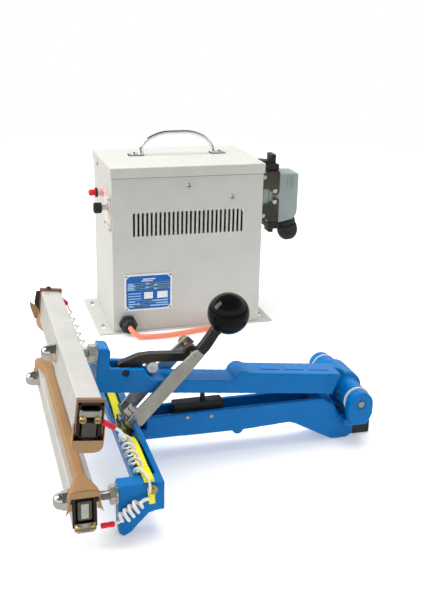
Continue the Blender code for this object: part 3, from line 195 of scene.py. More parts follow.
ALONG_Y = (1.0, 0.02, 1.0)
ALONG_X = (0.02, 1.0, 1.0)
FINISHES = {
    "case_paint": dict(colour=(0.635, 0.63, 0.58), rough=0.42, vary=0.025, bump=0.06, bump_scale=900,
                       dirt=0.05),
    "enamel_blue": dict(colour=(0.0, 0.170, 0.50), rough=0.22, vary=0.05, bump=0.06, bump_scale=260,
                        rough_vary=0.05, shine=0.26),
    # Painted shadow: the colour of the dark strip under the lid's lip.
    "lid_shadow_grey": dict(colour=(0.16, 0.155, 0.14), rough=0.6, vary=0.1, bump=0.03),
    "aluminium": dict(colour=(0.78, 0.77, 0.72), rough=0.36, metal=0.6, vary=0.05, bump=0.04, dirt=0.10,
                      brushed=ALONG_Y),
    "steel": dict(colour=(0.60, 0.60, 0.57), rough=0.30, metal=1.0, vary=0.12, bump=0.04, dirt=0.25),
    "bright_steel": dict(colour=(0.78, 0.77, 0.73), rough=0.26, metal=0.9, bump=0.03, dirt=0.15,
                         brushed=ALONG_X),
    "nickel": dict(colour=(0.86, 0.85, 0.82), rough=0.17, metal=1.0, vary=0.04, rough_vary=0.04, bump=0.02),
    "strap_steel": dict(colour=(0.56, 0.55, 0.51), rough=0.30, metal=0.9, vary=0.12, bump=0.04, dirt=0.25,
                        brushed=ALONG_X),
    "chrome": dict(colour=(0.88, 0.88, 0.89), rough=0.07, metal=1.0, vary=0.02, rough_vary=0.03, bump=0.01),
    "brass": dict(colour=(0.74, 0.55, 0.24), rough=0.24, metal=1.0, vary=0.12, bump=0.03),
    "copper": dict(colour=(0.62, 0.34, 0.22), rough=0.40, metal=0.9, vary=0.15),
    "core_steel": dict(colour=(0.18, 0.18, 0.19), rough=0.5, metal=0.8, bump=0.1, brushed=ALONG_X),
    "lever_black": dict(colour=(0.030, 0.027, 0.025), rough=0.27, metal=0.3, vary=0.25),
    "ball_black": dict(colour=(0.004, 0.004, 0.004), rough=0.045, vary=0.05, rough_vary=0.02, bump=0.004,
                       shine=0.2),
    "plastic_black": dict(colour=(0.016, 0.016, 0.017), rough=0.42, vary=0.15, bump=0.06, bump_scale=1400),
    "rubber": dict(colour=(0.025, 0.025, 0.024), rough=0.75, vary=0.2, bump=0.12, bump_scale=900),
    "nylon": dict(colour=(0.82, 0.82, 0.77), rough=0.38, vary=0.04, through=0.3, bump=0.03),
    "plate_blue": dict(colour=(0.0, 0.125, 0.50), rough=0.32, vary=0.05, bump=0.02),
    "plate_pale": dict(colour=(0.36, 0.62, 0.86), rough=0.35, vary=0.10, bump=0.02),
    "plate_white": dict(colour=(0.86, 0.88, 0.90), rough=0.30, vary=0.03, bump=0.02),
    "label": dict(colour=(0.80, 0.71, 0.66), rough=0.42, vary=0.06, bump=0.03),
    "lamp_red": dict(colour=(0.80, 0.010, 0.035), rough=0.15, vary=0.05, bump=0.01, coat=0.4),
    "lens_pink": dict(colour=(0.86, 0.48, 0.44), rough=0.22, vary=0.06, through=0.5, bump=0.02),
    "cord_orange": dict(colour=(0.95, 0.28, 0.17), rough=0.42, vary=0.05, bump_scale=1200),
    "hood_grey": dict(colour=(0.33, 0.395, 0.38), rough=0.42, vary=0.06, bump=0.10, bump_scale=1100,
                      dirt=0.15),
    "latch_grey": dict(colour=(0.085, 0.078, 0.058), rough=0.34, metal=0.5, vary=0.25, dirt=0.3),
    "olive_zinc": dict(colour=(0.17, 0.20, 0.14), rough=0.36, metal=0.6, vary=0.2, bump=0.06),
    "ptfe_brown": dict(colour=(0.36, 0.205, 0.088), rough=0.46, vary=0.12, vary_scale=60, bump=0.08,
                       weave=260.0),
    "cloth_dark": dict(colour=(0.20, 0.105, 0.06), rough=0.50, vary=0.15, bump=0.08, weave=260.0),
    "silicone": dict(colour=(0.10, 0.06, 0.04), rough=0.70, vary=0.1, bump=0.08),
    # Painted shade in screw slots, inside the bars' ends and on the cloth fold's inner side; also the printed
    # marks on the control plate.
    "shade_and_print_dark": dict(colour=(0.028, 0.016, 0.010), rough=0.55, vary=0.25, bump=0.08),
    "clamp_grey": dict(colour=(0.115, 0.11, 0.10), rough=0.38, metal=0.5, vary=0.2, bump=0.06),
    "sleeve_yellow": dict(colour=(0.98, 0.90, 0.02), rough=0.46, vary=0.04, bump=0.06, bump_scale=1600,
                          dirt=0.06),
    "lead_white": dict(colour=(0.86, 0.85, 0.80), rough=0.40, vary=0.04, bump=0.03, dirt=0.08),
    "crimp_red": dict(colour=(0.74, 0.012, 0.03), rough=0.30, vary=0.06, bump=0.03),
    "board_green": dict(colour=(0.01, 0.06, 0.025), rough=0.4),
    "winding": dict(colour=(0.55, 0.25, 0.10), rough=0.45, metal=0.3, bump=0.2, brushed=ALONG_X),
}
MATERIALS = {name: make_material("look_" + name, **values) for name, values in FINISHES.items()}


# ---------------------------------------------------------------- shapes

SHARP, SOFT = 32.0, 60.0


def finished(obj, body, finish, *nodes, smooth=SHARP):
    """Shading, material and body of a piece, and the CAD nodes that it stands for.

    Edges that turn by more than smooth degrees stay sharp.  Flat faces stay flat unless the piece is SOFT.
    """
    obj.data.materials.clear()
    obj.data.materials.append(MATERIALS[finish])
    obj.data.shade_smooth()
    obj.data.set_sharp_from_angle(angle=math.radians(smooth))
    if smooth < SOFT:
        flat = obj.modifiers.new("flat_faces", "WEIGHTED_NORMAL")
        flat.keep_sharp = True
        flat.weight = 80
    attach(obj, body)
    if nodes:
        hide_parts(*nodes)
    return obj


def body_of(node):
    return frame["nodes"][node]["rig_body"]


def turned_to(axis):
    """The rotation that takes +Z to the axis."""
    return Vector(axis).to_track_quat("Z", "Y").to_matrix().to_4x4()


def circle(radius, sides):
    angles = [math.tau * i / sides for i in range(sides)]
    return [(radius * math.cos(angle), radius * math.sin(angle)) for angle in angles]


def smooth_path(points, steps):
    """A Catmull-Rom path through the points."""
    points = [Vector(p) for p in points]
    ends = [2 * points[0] - points[1], *points, 2 * points[-1] - points[-2]]
    path = []
    for a, b, c, d in zip(ends, ends[1:], ends[2:], ends[3:]):
        for i in range(steps):
            t = i / steps
            path.append(0.5 * (2 * b + (c - a) * t + (2 * a - 5 * b + 4 * c - d) * t ** 2
                               + (3 * b - a - 3 * c + d) * t ** 3))
    return [*path, points[-1]]


def coil_path(points, radius, turns, start=0.0, steps=22):
    """A helix round a path, drawn in at both ends, with its first angle and its points in a turn."""
    axis = smooth_path(points, 12)
    lengths = [0.0]
    for a, b in zip(axis, axis[1:]):
        lengths.append(lengths[-1] + (b - a).length)
    made = []
    count = int(turns * steps)
    for i in range(count + 1):
        share = i / count
        along = share * lengths[-1]
        k = max(j for j in range(len(lengths)) if lengths[j] <= along + 1e-9)
        k = min(k, len(axis) - 2)
        centre = axis[k].lerp(axis[k + 1], (along - lengths[k]) / max(1e-9, lengths[k + 1] - lengths[k]))
        forward = (axis[k + 1] - axis[k]).normalized()
        side = forward.cross(Vector(UPWARD)).normalized()
        up = side.cross(forward)
        angle = start + math.tau * turns * share
        reach = radius * min(1.0, share * 8 + 0.1, (1 - share) * 8 + 0.1)
        made.append(centre + (side * math.cos(angle) + up * math.sin(angle)) * reach)
    return made


class Form:
    """Shapes gathered into one mesh, given in the millimetres of one place's frame."""

    def __init__(self, place=CASE):
        self.form = bmesh.new()
        self.place = place

    def take(self, part, matrix=None):
        if matrix is not None:
            bmesh.ops.transform(part, matrix=matrix, verts=part.verts)
        mesh = bpy.data.meshes.new("gathered")
        part.to_mesh(mesh)
        part.free()
        self.form.from_mesh(mesh)
        bpy.data.meshes.remove(mesh)
        return self

    def rings(self, rings, matrix=None, closed=False):
        """A skin over rings of points.  A ring of one point closes an end."""
        part = bmesh.new()
        rows = [[part.verts.new(p) for p in ring] for ring in rings]
        for a, b in zip(rows, rows[1:] + (rows[:1] if closed else [])):
            count = max(len(a), len(b))
            for i in range(count):
                j = (i + 1) % count
                corners = [a[i % len(a)], a[j % len(a)], b[j % len(b)], b[i % len(b)]]
                unique = [v for k, v in enumerate(corners) if v not in corners[:k]]
                if len(unique) > 2:
                    part.faces.new(unique)
        if not closed:
            for row in (rows[0], rows[-1]):
                if len(row) > 2:
                    part.faces.new(row)
        bmesh.ops.recalc_face_normals(part, faces=part.faces)
        return self.take(part, matrix)

    def lathe(self, profile, start, axis, sides=48, ribs=None):
        """profile is (radius, height) along the axis.  ribs is (count, depth, low, high)."""
        rings = []
        for radius, height in profile:
            if radius <= 0.0:
                rings.append([(0.0, 0.0, height)])
                continue
            ring = []
            for i in range(sides):
                angle = math.tau * i / sides
                r = radius
                if ribs and ribs[2] <= height <= ribs[3]:
                    r -= ribs[1] * (0.5 - 0.5 * math.cos(angle * ribs[0]))
                ring.append((r * math.cos(angle), r * math.sin(angle), height))
            rings.append(ring)
        return self.rings(rings, Matrix.Translation(start) @ turned_to(axis))

    def washer(self, inner, outer, height, start, axis, sides=56):
        ring = [(inner, 0.0), (outer, 0.0), (outer, height), (inner, height), (inner, 0.0)]
        return self.lathe(ring, start, axis, sides)

    def nut(self, flats, height, start, axis, hole=0.0, turn=0.0, sides=72):
        """A hexagon with its corners turned off at both ends."""
        around, low, high = [], [], []
        for i in range(sides):
            angle = math.tau * i / sides
            within = (angle % (math.tau / 6)) - math.tau / 12
            reach = flats / 2 / math.cos(within)
            off = (reach - flats / 2) * 0.45
            x, y = math.cos(angle + turn), math.sin(angle + turn)
            low.append((reach * x, reach * y, off))
            high.append((reach * x, reach * y, height - off))
            around.append((x, y))
        face = flats / 2 * 0.96
        outline = [(face, 0.0), (face, height), (hole, height), (hole, 0.0)]
        bottom, top, rim, foot = ([(r * x, r * y, z) for x, y in around] for r, z in outline)
        rings = [bottom, low, high, top] + ([rim, foot] if hole else [])
        return self.rings(rings, Matrix.Translation(start) @ turned_to(axis), closed=bool(hole))

    def sweep(self, path, section, up=None):
        """A section carried along a path.  up keeps the section's second direction towards it."""
        path = [Vector(p) for p in path]
        rings, across = [], None
        for i, point in enumerate(path):
            ahead = path[min(i + 1, len(path) - 1)] - path[max(i - 1, 0)]
            ahead.normalize()
            if up is not None:
                across = ahead.cross(Vector(up)).normalized()
            elif across is None:
                across = ahead.orthogonal().normalized()
            else:
                across = (across - ahead * across.dot(ahead)).normalized()
            over = across.cross(ahead)
            rings.append([point + across * u + over * v for u, v in section])
        return self.rings(rings)

    def wire(self, path, radius, sides=14):
        return self.sweep(path, circle(radius, sides))

    def ribbon(self, path, width, thick, up):
        """A flat strip with rounded edges."""
        edge, side, face = width / 2, width / 2 - 0.5, thick / 2
        section = [(-edge, -thick * 0.2), (-side, face), (side, face), (edge, -thick * 0.2), (side, -face),
                   (-side, -face)]
        return self.sweep(path, section, up=up)

    def block(self, low, high, bevel=0.4, segments=2):
        low, high = Vector(low), Vector(high)
        part = bmesh.new()
        bmesh.ops.create_cube(part, size=1.0)
        bmesh.ops.scale(part, vec=high - low, verts=part.verts)
        bmesh.ops.translate(part, vec=(low + high) / 2, verts=part.verts)
        if bevel:
            bmesh.ops.bevel(part, geom=part.edges[:], offset=bevel, segments=segments, affect="EDGES",
                            profile=0.5)
        return self.take(part)

    def slab(self, outline, low, high, bevel=0.3, segments=1):
        """An outline of (x, z) points from one Y to another, with rounded rims."""
        part = bmesh.new()
        a = [part.verts.new((x, low, z)) for x, z in outline]
        b = [part.verts.new((x, high, z)) for x, z in outline]
        caps = [part.faces.new(a), part.faces.new(b)]
        for i in range(len(a)):
            j = (i + 1) % len(a)
            part.faces.new((a[i], a[j], b[j], b[i]))
        bmesh.ops.recalc_face_normals(part, faces=part.faces)
        if bevel:
            rims = list({edge for face in caps for edge in face.edges})
            bmesh.ops.bevel(part, geom=rims, offset=bevel, segments=segments, affect="EDGES", profile=0.5)
        return self.take(part)

    def ball(self, centre, radius, segments=64):
        part = bmesh.new()
        bmesh.ops.create_uvsphere(part, u_segments=segments, v_segments=segments // 2, radius=radius)
        return self.take(part, Matrix.Translation(centre))

    def pan_head(self, at, axis, radius=3.0, height=2.0):
        profile = [(0.0, height), (radius * 0.45, height * 0.96), (radius * 0.8, height * 0.7),
                   (radius * 0.97, height * 0.3), (radius, 0.0), (0.0, 0.0)]
        return self.lathe(profile, at, axis, 32)

    def done(self, name, finish, *nodes, body=None, smooth=SHARP):
        """The finished piece, on its place's body unless another is given."""
        bmesh.ops.transform(self.form, matrix=Matrix.Scale(MM, 4) @ self.place.frame, verts=self.form.verts)
        return finished(linked(self.form, name), body or self.place.body, finish, *nodes, smooth=smooth)

    def stand_in(self, node, finish, smooth=SHARP):
        """The finished piece in the place of one CAD node and on its body."""
        return self.done(node + "_look", finish, node, body=body_of(node), smooth=smooth)


def linked(form, name):
    """The form as an object of the scene."""
    mesh = bpy.data.meshes.new(name)
    form.to_mesh(mesh)
    form.free()
    obj = bpy.data.objects.new(name, mesh)
    bpy.context.scene.collection.objects.link(obj)
    return obj


def clean_copy(node):
    """The CAD node's mesh, welded and with its flat faces whole again."""
    form = bmesh.new()
    form.from_mesh(frame["nodes"][node].data)
    bmesh.ops.remove_doubles(form, verts=form.verts, dist=0.000002)
    bmesh.ops.dissolve_limit(form, angle_limit=math.radians(0.5), verts=form.verts, edges=form.edges)
    return linked(form, node + "_look")


def applied(obj):
    """The object with its modifiers made part of its mesh."""
    bpy.context.view_layer.update()
    mesh = bpy.data.meshes.new_from_object(obj.evaluated_get(bpy.context.evaluated_depsgraph_get()))
    obj.modifiers.clear()
    obj.data = mesh
    return obj


def edged(node, finish, width, segments=2):
    """The node's shape with its sharp edges broken."""
    obj = clean_copy(node)
    bevel = obj.modifiers.new("edges", "BEVEL")
    bevel.width = width * MM
    bevel.segments = segments
    bevel.limit_method = "ANGLE"
    bevel.angle_limit = math.radians(35.0)
    return finished(applied(obj), body_of(node), finish, node)


def cast(node, finish, voxel, rounds):
    """The node's shape as a casting: every edge rounded over, the faces slightly soft."""
    obj = clean_copy(node)
    remesh = obj.modifiers.new("skin", "REMESH")
    remesh.mode = "VOXEL"
    remesh.voxel_size = voxel * MM
    soften = obj.modifiers.new("soften", "SMOOTH")
    soften.factor = 0.5
    soften.iterations = rounds
    return finished(applied(obj), body_of(node), finish, node, smooth=SOFT)


# ---------------------------------------------------------------- power unit

LEFT, RIGHT, FRONT = -96.5, 96.5, -66.0
# LID_SHADOW_LOW and LID_SHADOW_HIGH bound a painted shadow under the lid's lip.
LID_SIDE, LID_TOP, LID_SHADOW_LOW, LID_SHADOW_HIGH = 98.2, 212.3, 198.5, 199.3
FRONT_SCREWS = ((-0.2, 186.8), (55.7, 170.6))


def case_shell():
    edged("housing", "case_paint", 0.35)
    edged("lid", "case_paint", 0.5)
    edged("base_plate", "case_paint", 0.5)
    # Painted shadow: a thin dark strip round the housing just under the lid's lip, for the shade that the lip
    # casts.
    lid_shadow = Form()
    for x in (LEFT, RIGHT):
        lid_shadow.block((x - 0.2, FRONT - 0.2, LID_SHADOW_LOW), (x + 0.2, -FRONT + 0.2, LID_SHADOW_HIGH), 0.0)
    for y in (FRONT, -FRONT):
        lid_shadow.block((LEFT - 0.2, y - 0.2, LID_SHADOW_LOW), (RIGHT + 0.2, y + 0.2, LID_SHADOW_HIGH), 0.0)
    lid_shadow.done("lid_shadow_strip", "lid_shadow_grey")
    # The dark crosses on the front screws are painted shade, standing in for the shade in their slots.
    heads, marks, arm = Form(), Form(), 1.7
    near, far = FRONT - 2.15, FRONT - 1.7
    for x, z in FRONT_SCREWS:
        heads.pan_head((x, FRONT, z), TO_FRONT, 3.6, 2.1)
        marks.block((x - arm, near, z - 0.3), (x + arm, far, z + 0.3), 0.0)
        marks.block((x - 0.3, near, z - arm), (x + 0.3, far, z + arm), 0.0)
    heads.done("case_screws", "nickel")
    marks.done("case_screw_slot_shade", "shade_and_print_dark")
    sides = Form()
    for x, axis in ((-LID_SIDE, TO_LEFT), (LID_SIDE, TO_RIGHT)):
        sides.pan_head((x, 24.1, 201.4), axis, 2.7, 1.7)
    sides.done("lid_screws", "copper")
    feet = Form()
    for x in (-106.0, 106.0):
        for y in (-38.0, 52.0):
            feet.pan_head((x, y, 2.0), UPWARD, 2.4, 1.4)
    feet.done("base_screws", "steel")


def carry_handle():
    middle, y, inner, rise = 4.0, 14.0, 48.0, 27.0
    half = [(inner, 1.0), (inner - 1.0, 7.0), (inner - 3.0, 12.5), (inner - 12.5, 21.0), (inner - 29.0, rise)]
    path = [(-x, z) for x, z in half] + [(0.0, rise + 0.8)] + half[::-1]
    rod = Form().wire(smooth_path([(middle + x, y, LID_TOP + z) for x, z in path], 10), 2.5, 28)
    collar = [(4.2, 0.0), (4.0, 1.6), (2.6, 3.6), (0.0, 3.6)]
    pads = Form()
    for side in (-1, 1):
        x = middle + side * (inner + 6.5)
        rod.block((x - 9.0, y - 6.0, LID_TOP), (x + 9.0, y + 6.0, LID_TOP + 1.8), 0.6, 3)
        rod.pan_head((x + side * 2.5, y, LID_TOP + 1.8), UPWARD, 3.0, 1.8)
        rod.lathe(collar, (middle + side * inner, y, LID_TOP + 1.6), UPWARD, 32)
        pads.block((x - 10.0, y - 7.0, LID_TOP - 0.2), (x + 10.0, y + 7.0, LID_TOP + 0.5), 0.2)
    rod.stand_in("carry_handle", "chrome")
    pads.done("handle_pads", "rubber")


def nameplate():
    edged("nameplate", "plate_white", 0.2)
    left, right, bottom, top = LEFT + 14.0, LEFT + 75.5, 29.0, 77.3
    y, rim, cut, rivet_in = FRONT - 1.1, 2.4, 4.2, 2.6
    a, b, c, d = left + rim, right - rim, bottom + rim, top - rim
    field = [(a + cut, c), (b - cut, c), (b, c + cut), (b, d - cut), (b - cut, d), (a + cut, d), (a, d - cut),
             (a, c + cut)]
    Form().slab(field, y - 0.12, y, bevel=0.0).done("nameplate_field", "plate_blue")
    white, pale = Form(), Form()

    def bar(kind, u0, u1, v0, v1):
        """A raised bar between shares of the field's width and height."""
        low = (a + (b - a) * u0, y - 0.24, c + (d - c) * v0)
        kind.block(low, (a + (b - a) * u1, y - 0.1, c + (d - c) * v1), 0.05, 1)

    bar(white, 0.38, 0.66, 0.885, 0.915)
    bar(white, 0.34, 0.60, 0.835, 0.86)
    for row, v in enumerate((0.755, 0.70, 0.645, 0.59)):
        bar(pale, 0.03, 0.97, v - 0.012, v + 0.028)
        for u0, u1 in (((0.16, 0.44), (0.52, 0.97)), ((0.20, 0.62), (0.70, 0.95)))[row % 2]:
            bar(white, u0, u1, v - 0.008, v + 0.020)
    for u0, u1 in ((0.40, 0.60), (0.70, 0.94)):
        bar(white, u0, u1, 0.30, 0.50)
    for v in (0.46, 0.38, 0.30):
        bar(pale, 0.04, 0.34, v, v + 0.028)
    for v, u0 in ((0.22, 0.20), (0.14, 0.30), (0.07, 0.16)):
        bar(pale, 0.05, 0.95, v - 0.008, v + 0.030)
        bar(white, u0, u0 + 0.38, v - 0.004, v + 0.024)
    white.done("nameplate_white_bars", "plate_white")
    pale.done("nameplate_pale_bars", "plate_pale")
    rivets = Form()
    for x in (left + rivet_in, right - rivet_in):
        for z in (bottom + rivet_in, top - rivet_in):
            rivets.pan_head((x, y, z), TO_FRONT, 1.5, 0.9)
    rivets.done("nameplate_rivets", "steel")


LABEL_FACE = LEFT - 1.5
KNOB_Y, KNOB_Z = -51.0, 161.0
BUTTON = (LEFT - 0.3, -10.5, 171.0)


def control_plate():
    edged("control_plate", "label", 0.2)
    marks, heads = Form(), Form()
    sunk, raised, mark = LABEL_FACE - 0.12, LABEL_FACE + 0.1, 0.35
    for i in range(11):
        turn = math.radians(225 - 27 * i)
        for step in range(3):
            reach = 9.2 + step * 0.8
            y, z = KNOB_Y - reach * math.cos(turn), KNOB_Z + reach * math.sin(turn)
            marks.block((sunk, y - mark, z - mark), (raised, y + mark, z + mark), 0.0)
    for low, high in ((137.0, 137.8), (175.4, 175.9)):
        marks.block((sunk, -58.0, low), (raised, -24.0, high), 0.0)
    marks.done("control_plate_marks", "shade_and_print_dark")
    for y in (-57.6, -21.0):
        for z in (134.6, 172.8):
            heads.pan_head((LABEL_FACE, y, z), TO_LEFT, 1.9, 1.3)
    heads.done("control_plate_screws", "steel")
    edged("knob_collar", "bright_steel", 0.2)


def timer_knob():
    tip, foot, half = LABEL_FACE - 18.5, LABEL_FACE - 8.9, 0.45
    ribbed = [(0.0, 0.0), (5.2, 0.0), (6.4, 0.7), (6.8, 1.6), (6.8, 4.8), (6.8, 8.0), (6.9, 8.6), (6.3, 9.6),
              (0.0, 9.6)]
    cap = Form().lathe(ribbed, (tip, KNOB_Y, KNOB_Z), TO_RIGHT, 96, ribs=(16, 0.75, 1.0, 8.2))
    cap.stand_in("timer_knob", "plastic_black")
    pointer = Form()
    for x0, x1, z0, z1 in ((tip - 0.12, tip + 0.3, 0.0, 5.0), (tip + 1.4, foot - 1.2, 6.3, 6.88)):
        pointer.block((x0, KNOB_Y - half, KNOB_Z + z0), (x1, KNOB_Y + half, KNOB_Z + z1), 0.0)
    pointer.done("timer_knob_pointer", "plate_white", body="timer_knob")


def lamp_button():
    neck = [(4.4, 10.6), (5.0, 10.6), (5.2, 8.5), (5.2, 0.0), (4.4, 0.0), (4.4, 10.6)]
    Form().lathe(neck, BUTTON, TO_LEFT, 56).done("button_neck", "lens_pink", "button_bezel")
    ring = [(4.45, 8.3), (5.9, 8.3), (6.1, 8.8), (6.1, 10.6), (5.7, 11.1), (4.45, 11.1), (4.45, 8.3)]
    Form().lathe(ring, BUTTON, TO_LEFT, 56).done("button_ring", "plastic_black")
    cap = [(0.0, 19.4), (2.0, 19.3), (3.3, 18.8), (3.9, 17.8), (4.1, 16.4), (4.1, 12.4), (3.8, 12.2),
           (3.8, 11.8), (4.1, 11.6), (4.1, 3.0), (0.0, 3.0)]
    Form().lathe(cap, BUTTON, TO_LEFT, 56).stand_in("button_cap", "lamp_red")


def mains_entry():
    x, wall, z, floor = -78.5, FRONT - 0.3, 12.5, 3.4
    profile = [(3.6, 17.0), (6.2, 17.0), (7.0, 16.6), (8.2, 15.2), (9.0, 13.6), (9.4, 11.5), (9.6, 8.2),
               (9.6, 7.8), (3.6, 7.8), (3.6, 17.0)]
    gland = Form().lathe(profile, (x, wall, z), TO_FRONT, 96, ribs=(14, 0.8, 8.0, 14.0))
    gland.nut(20.4, 7.4, (x, wall, z), TO_FRONT, 3.8)
    gland.stand_in("cable_gland", "plastic_black")
    route = [(x, FRONT + 25.0, z), (x, FRONT, z), (x, FRONT - 17.5, z), (x + 2.5, FRONT - 23.5, z - 3.0),
             (x + 9.0, FRONT - 27.0, floor + 1.2), (x + 20.0, FRONT - 28.0, floor),
             (-30.0, FRONT - 28.0, floor), (2.0, FRONT - 21.5, floor), (32.0, FRONT - 15.0, floor)]
    Form().wire(smooth_path(route, 10), 3.2, 26).stand_in("mains_cord", "cord_orange")


# ---------------------------------------------------------------- connector

PLUG_Z, LEVER_FACE = 158.0, 21.4
PIVOTS = [(114.2, PLUG_Z + side * 25.8) for side in (-1, 1)]
HOOKS = [(129.2, PLUG_Z + side * 7.3) for side in (-1, 1)]
PIVOT_HEAD = [(0.0, 1.0), (1.4, 0.8), (2.2, 0.2), (2.3, -0.6), (0.0, -0.6)]
HOOK_HEAD = [(0.0, 2.0), (2.0, 1.7), (3.0, 0.9), (3.1, -0.6), (0.0, -0.6)]


def connector():
    edged("connector_base", "hood_grey", 0.6, 3)
    # A black band round the collar, just outside the case.
    black_band, out = Form(), 0.7
    for side in (-1, 1):
        near, far = sorted((side * 18.0, side * (18.0 + out)))
        black_band.block((104.0, near, PLUG_Z - 29.2), (114.0, far, PLUG_Z + 29.2), 0.2)
        low, high = sorted((side * 28.5, side * (28.5 + out)))
        black_band.block((104.0, -18.6, PLUG_Z + low), (114.0, 18.6, PLUG_Z + high), 0.2)
    black_band.done("connector_collar_black_band", "rubber")
    flange = Form()
    for y in (-16.0, 16.0):
        for z in (PLUG_Z - 35.0, PLUG_Z + 35.0):
            flange.pan_head((102.5, y, z), TO_RIGHT, 2.6, 1.8)
    flange.done("connector_screws", "steel")
    pegs = Form()
    for spots, head in ((HOOKS, HOOK_HEAD), (PIVOTS, PIVOT_HEAD)):
        for x, z in spots:
            for side in (-1, 1):
                pegs.lathe(head, (x, side * LEVER_FACE, z), (0, side, 0), 32)
    pegs.done("connector_peg_heads", "nickel")
    for name in ("locking_lever_top", "locking_lever_bottom"):
        edged(name, "latch_grey", 0.3)
        edged(name + "_grip", "plastic_black", 0.5)


def plug_hood():
    cast("plug_hood", "hood_grey", 0.8, 3)
    ribs = Form()
    for x in (147.5, 151.0, 154.5):
        for y in (-18.1, 18.1):
            ribs.block((x, y - 0.7, 169.0), (x + 1.6, y + 0.7, 184.0), 0.5, 3)
    ribs.done("plug_hood_ribs", "hood_grey")
    profile = [(4.2, 10.0), (8.1, 10.0), (8.1, -0.3), (12.4, -0.3), (12.8, -0.8), (12.8, -5.6), (12.4, -6.3),
               (11.6, -6.6), (11.6, -7.6), (13.2, -8.2), (13.8, -9.0), (13.8, -17.6), (13.2, -20.0),
               (12.2, -22.6), (10.4, -25.4), (8.0, -27.8), (7.0, -28.2), (4.2, -28.2), (4.2, 10.0)]
    lean = math.radians(-13.0)
    axis = (math.sin(lean), 0.0, math.cos(lean))
    gland = Form().lathe(profile, (153.7, 0.0, 121.4), axis, 96, ribs=(16, 1.0, -18.5, -8.5))
    gland.stand_in("hood_gland", "plastic_black")


# ---------------------------------------------------------------- tongs

ARM_SIDE = -13.8
LINK_PIN, ANCHOR = Vector((-162.46, 0.0, 102.64)), Vector((-228.0, 0.0, 37.5))
LEVER_PIVOT = (-229.4, 0.0, 66.0)
BALL_NECK, NECK_AXIS = (-139.6, 0.0, 119.3), (0.59, 0.0, 0.81)
ROLLER = (-203.0, -4.6, 67.9)


def rod(ends, radius, chamfer):
    """The profile of a plain pin from one end to the other, its rims turned off by chamfer."""
    (low, high), (off, along) = ends, chamfer
    return [(0.0, low), (radius - off, low), (radius, low + along), (radius, high - along),
            (radius - off, high), (0.0, high)]


def arms():
    cast("lower_arm", "enamel_blue", 0.9, 5)
    cast("upper_arm", "enamel_blue", 0.9, 5)
    raised = Form(UPPER)
    for x0, x1 in ((-98.0, -78.0), (-73.0, -53.0), (-48.0, -28.0)):
        raised.block((x0, -4.2, 66.4), (x1, 4.2, 68.1), 0.6, 3)
    raised.done("upper_arm_raised_bars", "enamel_blue")
    bolts = Form(LOWER)
    for x, z in ((-168.0, 42.0), (-145.0, 40.5)):
        bolts.nut(3.4, 1.2, (x, ARM_SIDE, z), TO_FRONT)
    bolts.done("switch_mounting_screws", "steel")
    edged("rear_foot", "rubber", 0.6)


def hinge():
    pin = [(0.0, -33.0), (2.6, -33.0), (3.4, -32.4), (3.6, -31.0), (3.6, 72.0), (3.4, 73.6), (2.6, 74.3),
           (0.0, 74.3)]
    Form(LOWER).lathe(pin, (0.0, 0.0, HINGE.z), TO_BACK, 40).stand_in("hinge_pin", "steel")
    ring = [(3.9, 0.0), (13.2, 0.0), (13.5, 0.3), (13.5, 1.2), (13.2, 1.5), (3.9, 1.5), (3.9, 0.0)]
    for name, y in (("hinge_washer_near", -21.8), ("hinge_washer_far", 61.3)):
        Form(LOWER).lathe(ring, (0.0, y, HINGE.z), TO_BACK, 64).stand_in(name, "nylon")


def toggle_lever():
    edged("toggle_lever", "lever_black", 0.7, 3)
    low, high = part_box("ball_knob")
    Form().ball((low + high) / 2 / MM, 19.6).stand_in("ball_knob", "ball_black")
    ferrule = [(4.0, 0.0), (5.4, 0.0), (5.8, 0.6), (5.6, 4.4), (0.0, 4.4)]
    neck = Form(LOWER).lathe(ferrule, BALL_NECK, NECK_AXIS, 40)
    neck.done("ball_ferrule", "plastic_black", body="toggle_lever")
    pin = Form(UPPER).lathe(rod((-12.6, 14.0), 3.0, (0.3, 0.4)), LEVER_PIVOT, TO_BACK, 32)
    pin.stand_in("lever_pivot_pin", "lever_black")


